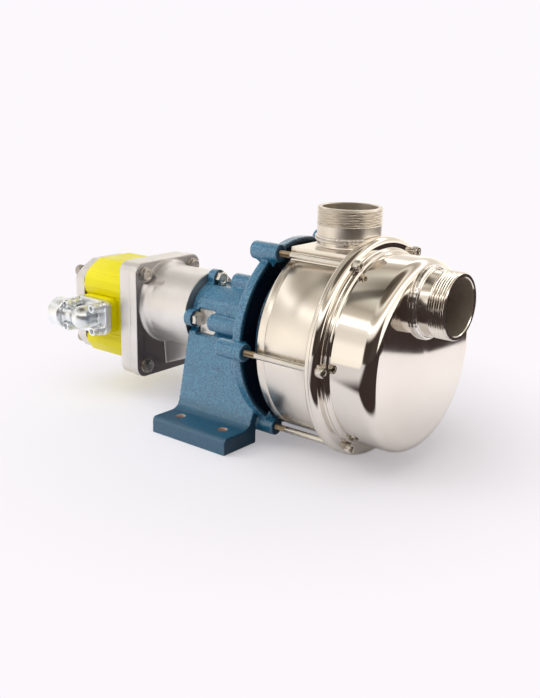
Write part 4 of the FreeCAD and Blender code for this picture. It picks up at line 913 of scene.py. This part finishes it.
def build_floor():
    """Pale sweep that fades to white; polished metal sees where the pale sheet ends."""
    size = 3.0
    mesh = bpy.data.meshes.new("floor")
    mesh.from_pydata([(-size, -size, 0), (size, -size, 0), (size, size, 0), (-size, size, 0)], [],
                     [(0, 1, 2, 3)])
    floor = bpy.data.objects.new("floor", mesh)
    bpy.context.scene.collection.objects.link(floor)
    make = Shader("floor")
    make.set(Base_Color=(0.86, 0.85, 0.88, 1), Roughness=0.6, Specular_IOR_Level=0.2)
    sheet = make.surface.outputs[0]

    def shine(*colour):
        return make.add("ShaderNodeEmission", Color=(*colour, 1), Strength=1.0).outputs[0]

    # distances in metres from the shaft's middle: in all, towards the camera and to its right
    reach = make.length(make.where)
    forward, right = make.dot(make.where, TO_CAMERA), make.dot(make.where, TO_RIGHT)
    bearing = make.maths("DIVIDE", right, reach)

    seen = make.blend(make.step(reach, 0.15, 0.40, 0.32, 1.0), sheet, shine(0.975, 0.94, 0.975))

    # mirrored by polished parts: the sheet's front edge, its bowed right edge and a cream wall on the left
    front_edge = make.both(make.step(forward, 0.216, 0.242), make.step(bearing, -0.56, -0.22, 0.28, 1.0))
    off = make.maths("ADD", forward, 0.017)
    bow = make.either(make.both(off, 0.72), make.both(off, -0.36))
    bow = make.maths("SQRT", make.maths("ADD", make.both(bow, bow), 0.012 ** 2))
    right_edge = make.step(make.minus(right, bow), 0.482, 0.494)
    left_wall = make.both(make.step(reach, 0.72, 0.86), make.step(bearing, -0.80, -0.70, 1.0, 0.0))
    mirrored = make.blend(make.step(reach, 0.13, 0.42, 0.0, 0.92), sheet, shine(1.20, 1.15, 1.16))
    mirrored = make.blend(make.either(front_edge, right_edge), mirrored, shine(0.050, 0.034, 0.032))
    mirrored = make.blend(left_wall, mirrored, shine(1.25, 1.18, 1.06))

    glossy = make.add("ShaderNodeLightPath").outputs["Is Glossy Ray"]
    make.put(make.tree.nodes["Material Output"].inputs["Surface"], make.blend(glossy, seen, mirrored))
    mesh.materials.append(make.material)


def build_world():
    """White to the eye, even for diffuse light, and a studio of panels for polished metal."""
    world = bpy.data.worlds.new("studio")
    bpy.context.scene.world = world
    world.use_nodes = True
    make = Nodes(world.node_tree)
    back = make.tree.nodes["Background"]
    back.inputs["Color"].default_value = (0.975, 0.945, 0.98, 1)
    back.inputs["Strength"].default_value = 1.0
    where = make.add("ShaderNodeTexCoord").outputs["Generated"]
    height = make.part_of(where, "Z")
    side_light = make.step(make.dot(where, (0.86, 0.42, 0.28)), -0.35, 0.60, 0.80, 0.20)
    light = make.add("ShaderNodeBackground", Color=(1.0, 0.99, 0.98, 1), Strength=side_light)

    # the panels' tone by height, from the ground up
    stops = [
        (0.00, (1.30, 1.23, 1.12)), (0.19, (1.28, 1.21, 1.10)), (0.31, (1.00, 0.93, 0.85)),
        (0.42, (0.96, 0.90, 0.82)), (0.50, (1.15, 1.10, 1.02)), (0.55, (2.60, 2.56, 2.50)),
        (0.59, (2.20, 2.14, 2.05)), (0.65, (0.80, 0.74, 0.64)), (0.75, (0.50, 0.45, 0.37)),
        (0.85, (0.98, 0.93, 0.82)), (0.915, (0.20, 0.165, 0.125)), (1.00, (0.10, 0.085, 0.07)),
    ]
    panels = make.add("ShaderNodeValToRGB", i0=height)
    marks = panels.color_ramp.elements
    for mark, (position, colour) in zip(marks, (stops[0], stops[-1])):
        mark.position, mark.color = position, (*colour, 1)
    for position, colour in stops[1:-1]:
        marks.new(position).color = (*colour, 1)

    # the unlit side behind the camera, and a slanted gap between two panels on the left
    flat = make.vector_maths("MULTIPLY", 0, i0=where, i1=(1.0, 1.0, 0.0))
    level = make.vector_maths("NORMALIZE", 0, i0=flat)
    unlit = make.both(make.step(make.dot(level, TO_CAMERA), 0.56, 0.70),
                      make.step(height, 0.34, 0.46, 1.0, 0.0))
    gap = make.maths("ABSOLUTE", make.dot(where, (-0.803, 0.511, -0.307)))
    left = make.step(make.dot(level, TO_RIGHT), -0.75, -0.60, 1.0, 0.0)
    slit = make.both(make.both(make.step(gap, 0.028, 0.062, 0.75, 0.0), make.step(height, 0.40, 0.48)), left)
    tone = make.mix(make.either(unlit, slit), panels.outputs["Color"], (0.055, 0.042, 0.036, 1))

    # panels are weaker behind on the left and stronger on the right
    slant = [0.8 * right + 0.6 * forward for right, forward in zip(TO_RIGHT, TO_CAMERA)]
    around = make.dot(level, slant)
    power = make.both(make.step(around, -0.97, -0.66, 0.72, 1.0), make.step(around, 0.35, 0.85, 1.0, 1.35))
    gloss = make.add("ShaderNodeBackground", Color=tone, Strength=power)
    path = make.add("ShaderNodeLightPath")
    unseen = make.blend(path.outputs["Is Glossy Ray"], light.outputs[0], gloss.outputs[0])
    make.put(make.tree.nodes["World Output"].inputs["Surface"],
             make.blend(path.outputs["Is Camera Ray"], unseen, back.outputs[0]))


def build_camera():
    """The fitted camera: turned to its bearing and height, rolled, and shifted across its view."""
    azimuth, elevation, roll = (math.radians(angle) for angle in (AZIMUTH, ELEVATION, ROLL))
    back = Vector((math.sin(azimuth) * math.cos(elevation), -math.cos(azimuth) * math.cos(elevation),
                   math.sin(elevation)))
    level = (-back).cross(Vector((0, 0, 1))).normalized()
    tilt = level.cross(-back)
    right = level * math.cos(roll) + tilt * math.sin(roll)
    up = -level * math.sin(roll) + tilt * math.cos(roll)
    spot = back * DISTANCE + level * SHIFT_RIGHT + tilt * SHIFT_UP + Vector(AIM)
    data = bpy.data.cameras.new("camera")
    data.sensor_width = SENSOR
    data.lens = FOCAL_PIXELS * SENSOR / PICTURE_HEIGHT
    data.clip_start = 0.01
    camera = bpy.data.objects.new("camera", data)
    rows = [(right[axis], up[axis], back[axis], spot[axis] * MM) for axis in range(3)]
    camera.matrix_world = Matrix(rows + [(0, 0, 0, 1)])
    bpy.context.scene.collection.objects.link(camera)
    bpy.context.scene.camera = camera


def softbox(name, at, aim, width, height, power):
    """A rectangular lamp that polished metal doesn't mirror."""
    data = bpy.data.lights.new(name, "AREA")
    data.shape = "RECTANGLE"
    data.size = width
    data.size_y = height
    data.energy = power
    lamp = bpy.data.objects.new(name, data)
    lamp.location = at
    lamp.rotation_euler = (Vector(aim) - Vector(at)).to_track_quat("-Z", "Y").to_euler()
    lamp.visible_glossy = False
    bpy.context.scene.collection.objects.link(lamp)


build_floor()
build_world()
build_camera()
softbox("top_light", (0.1, -0.3, 1.5), (0, 0, 0.1), 1.6, 1.2, 9.0)
softbox("left_light", (-1.2, -0.9, 0.8), (0, 0, 0.1), 1.0, 1.0, 13.0)
softbox("right_light", (1.3, -0.5, 0.9), (0.1, 0, 0.1), 0.8, 1.0, 1.5)

bpy.context.scene.view_settings.view_transform = "Standard"
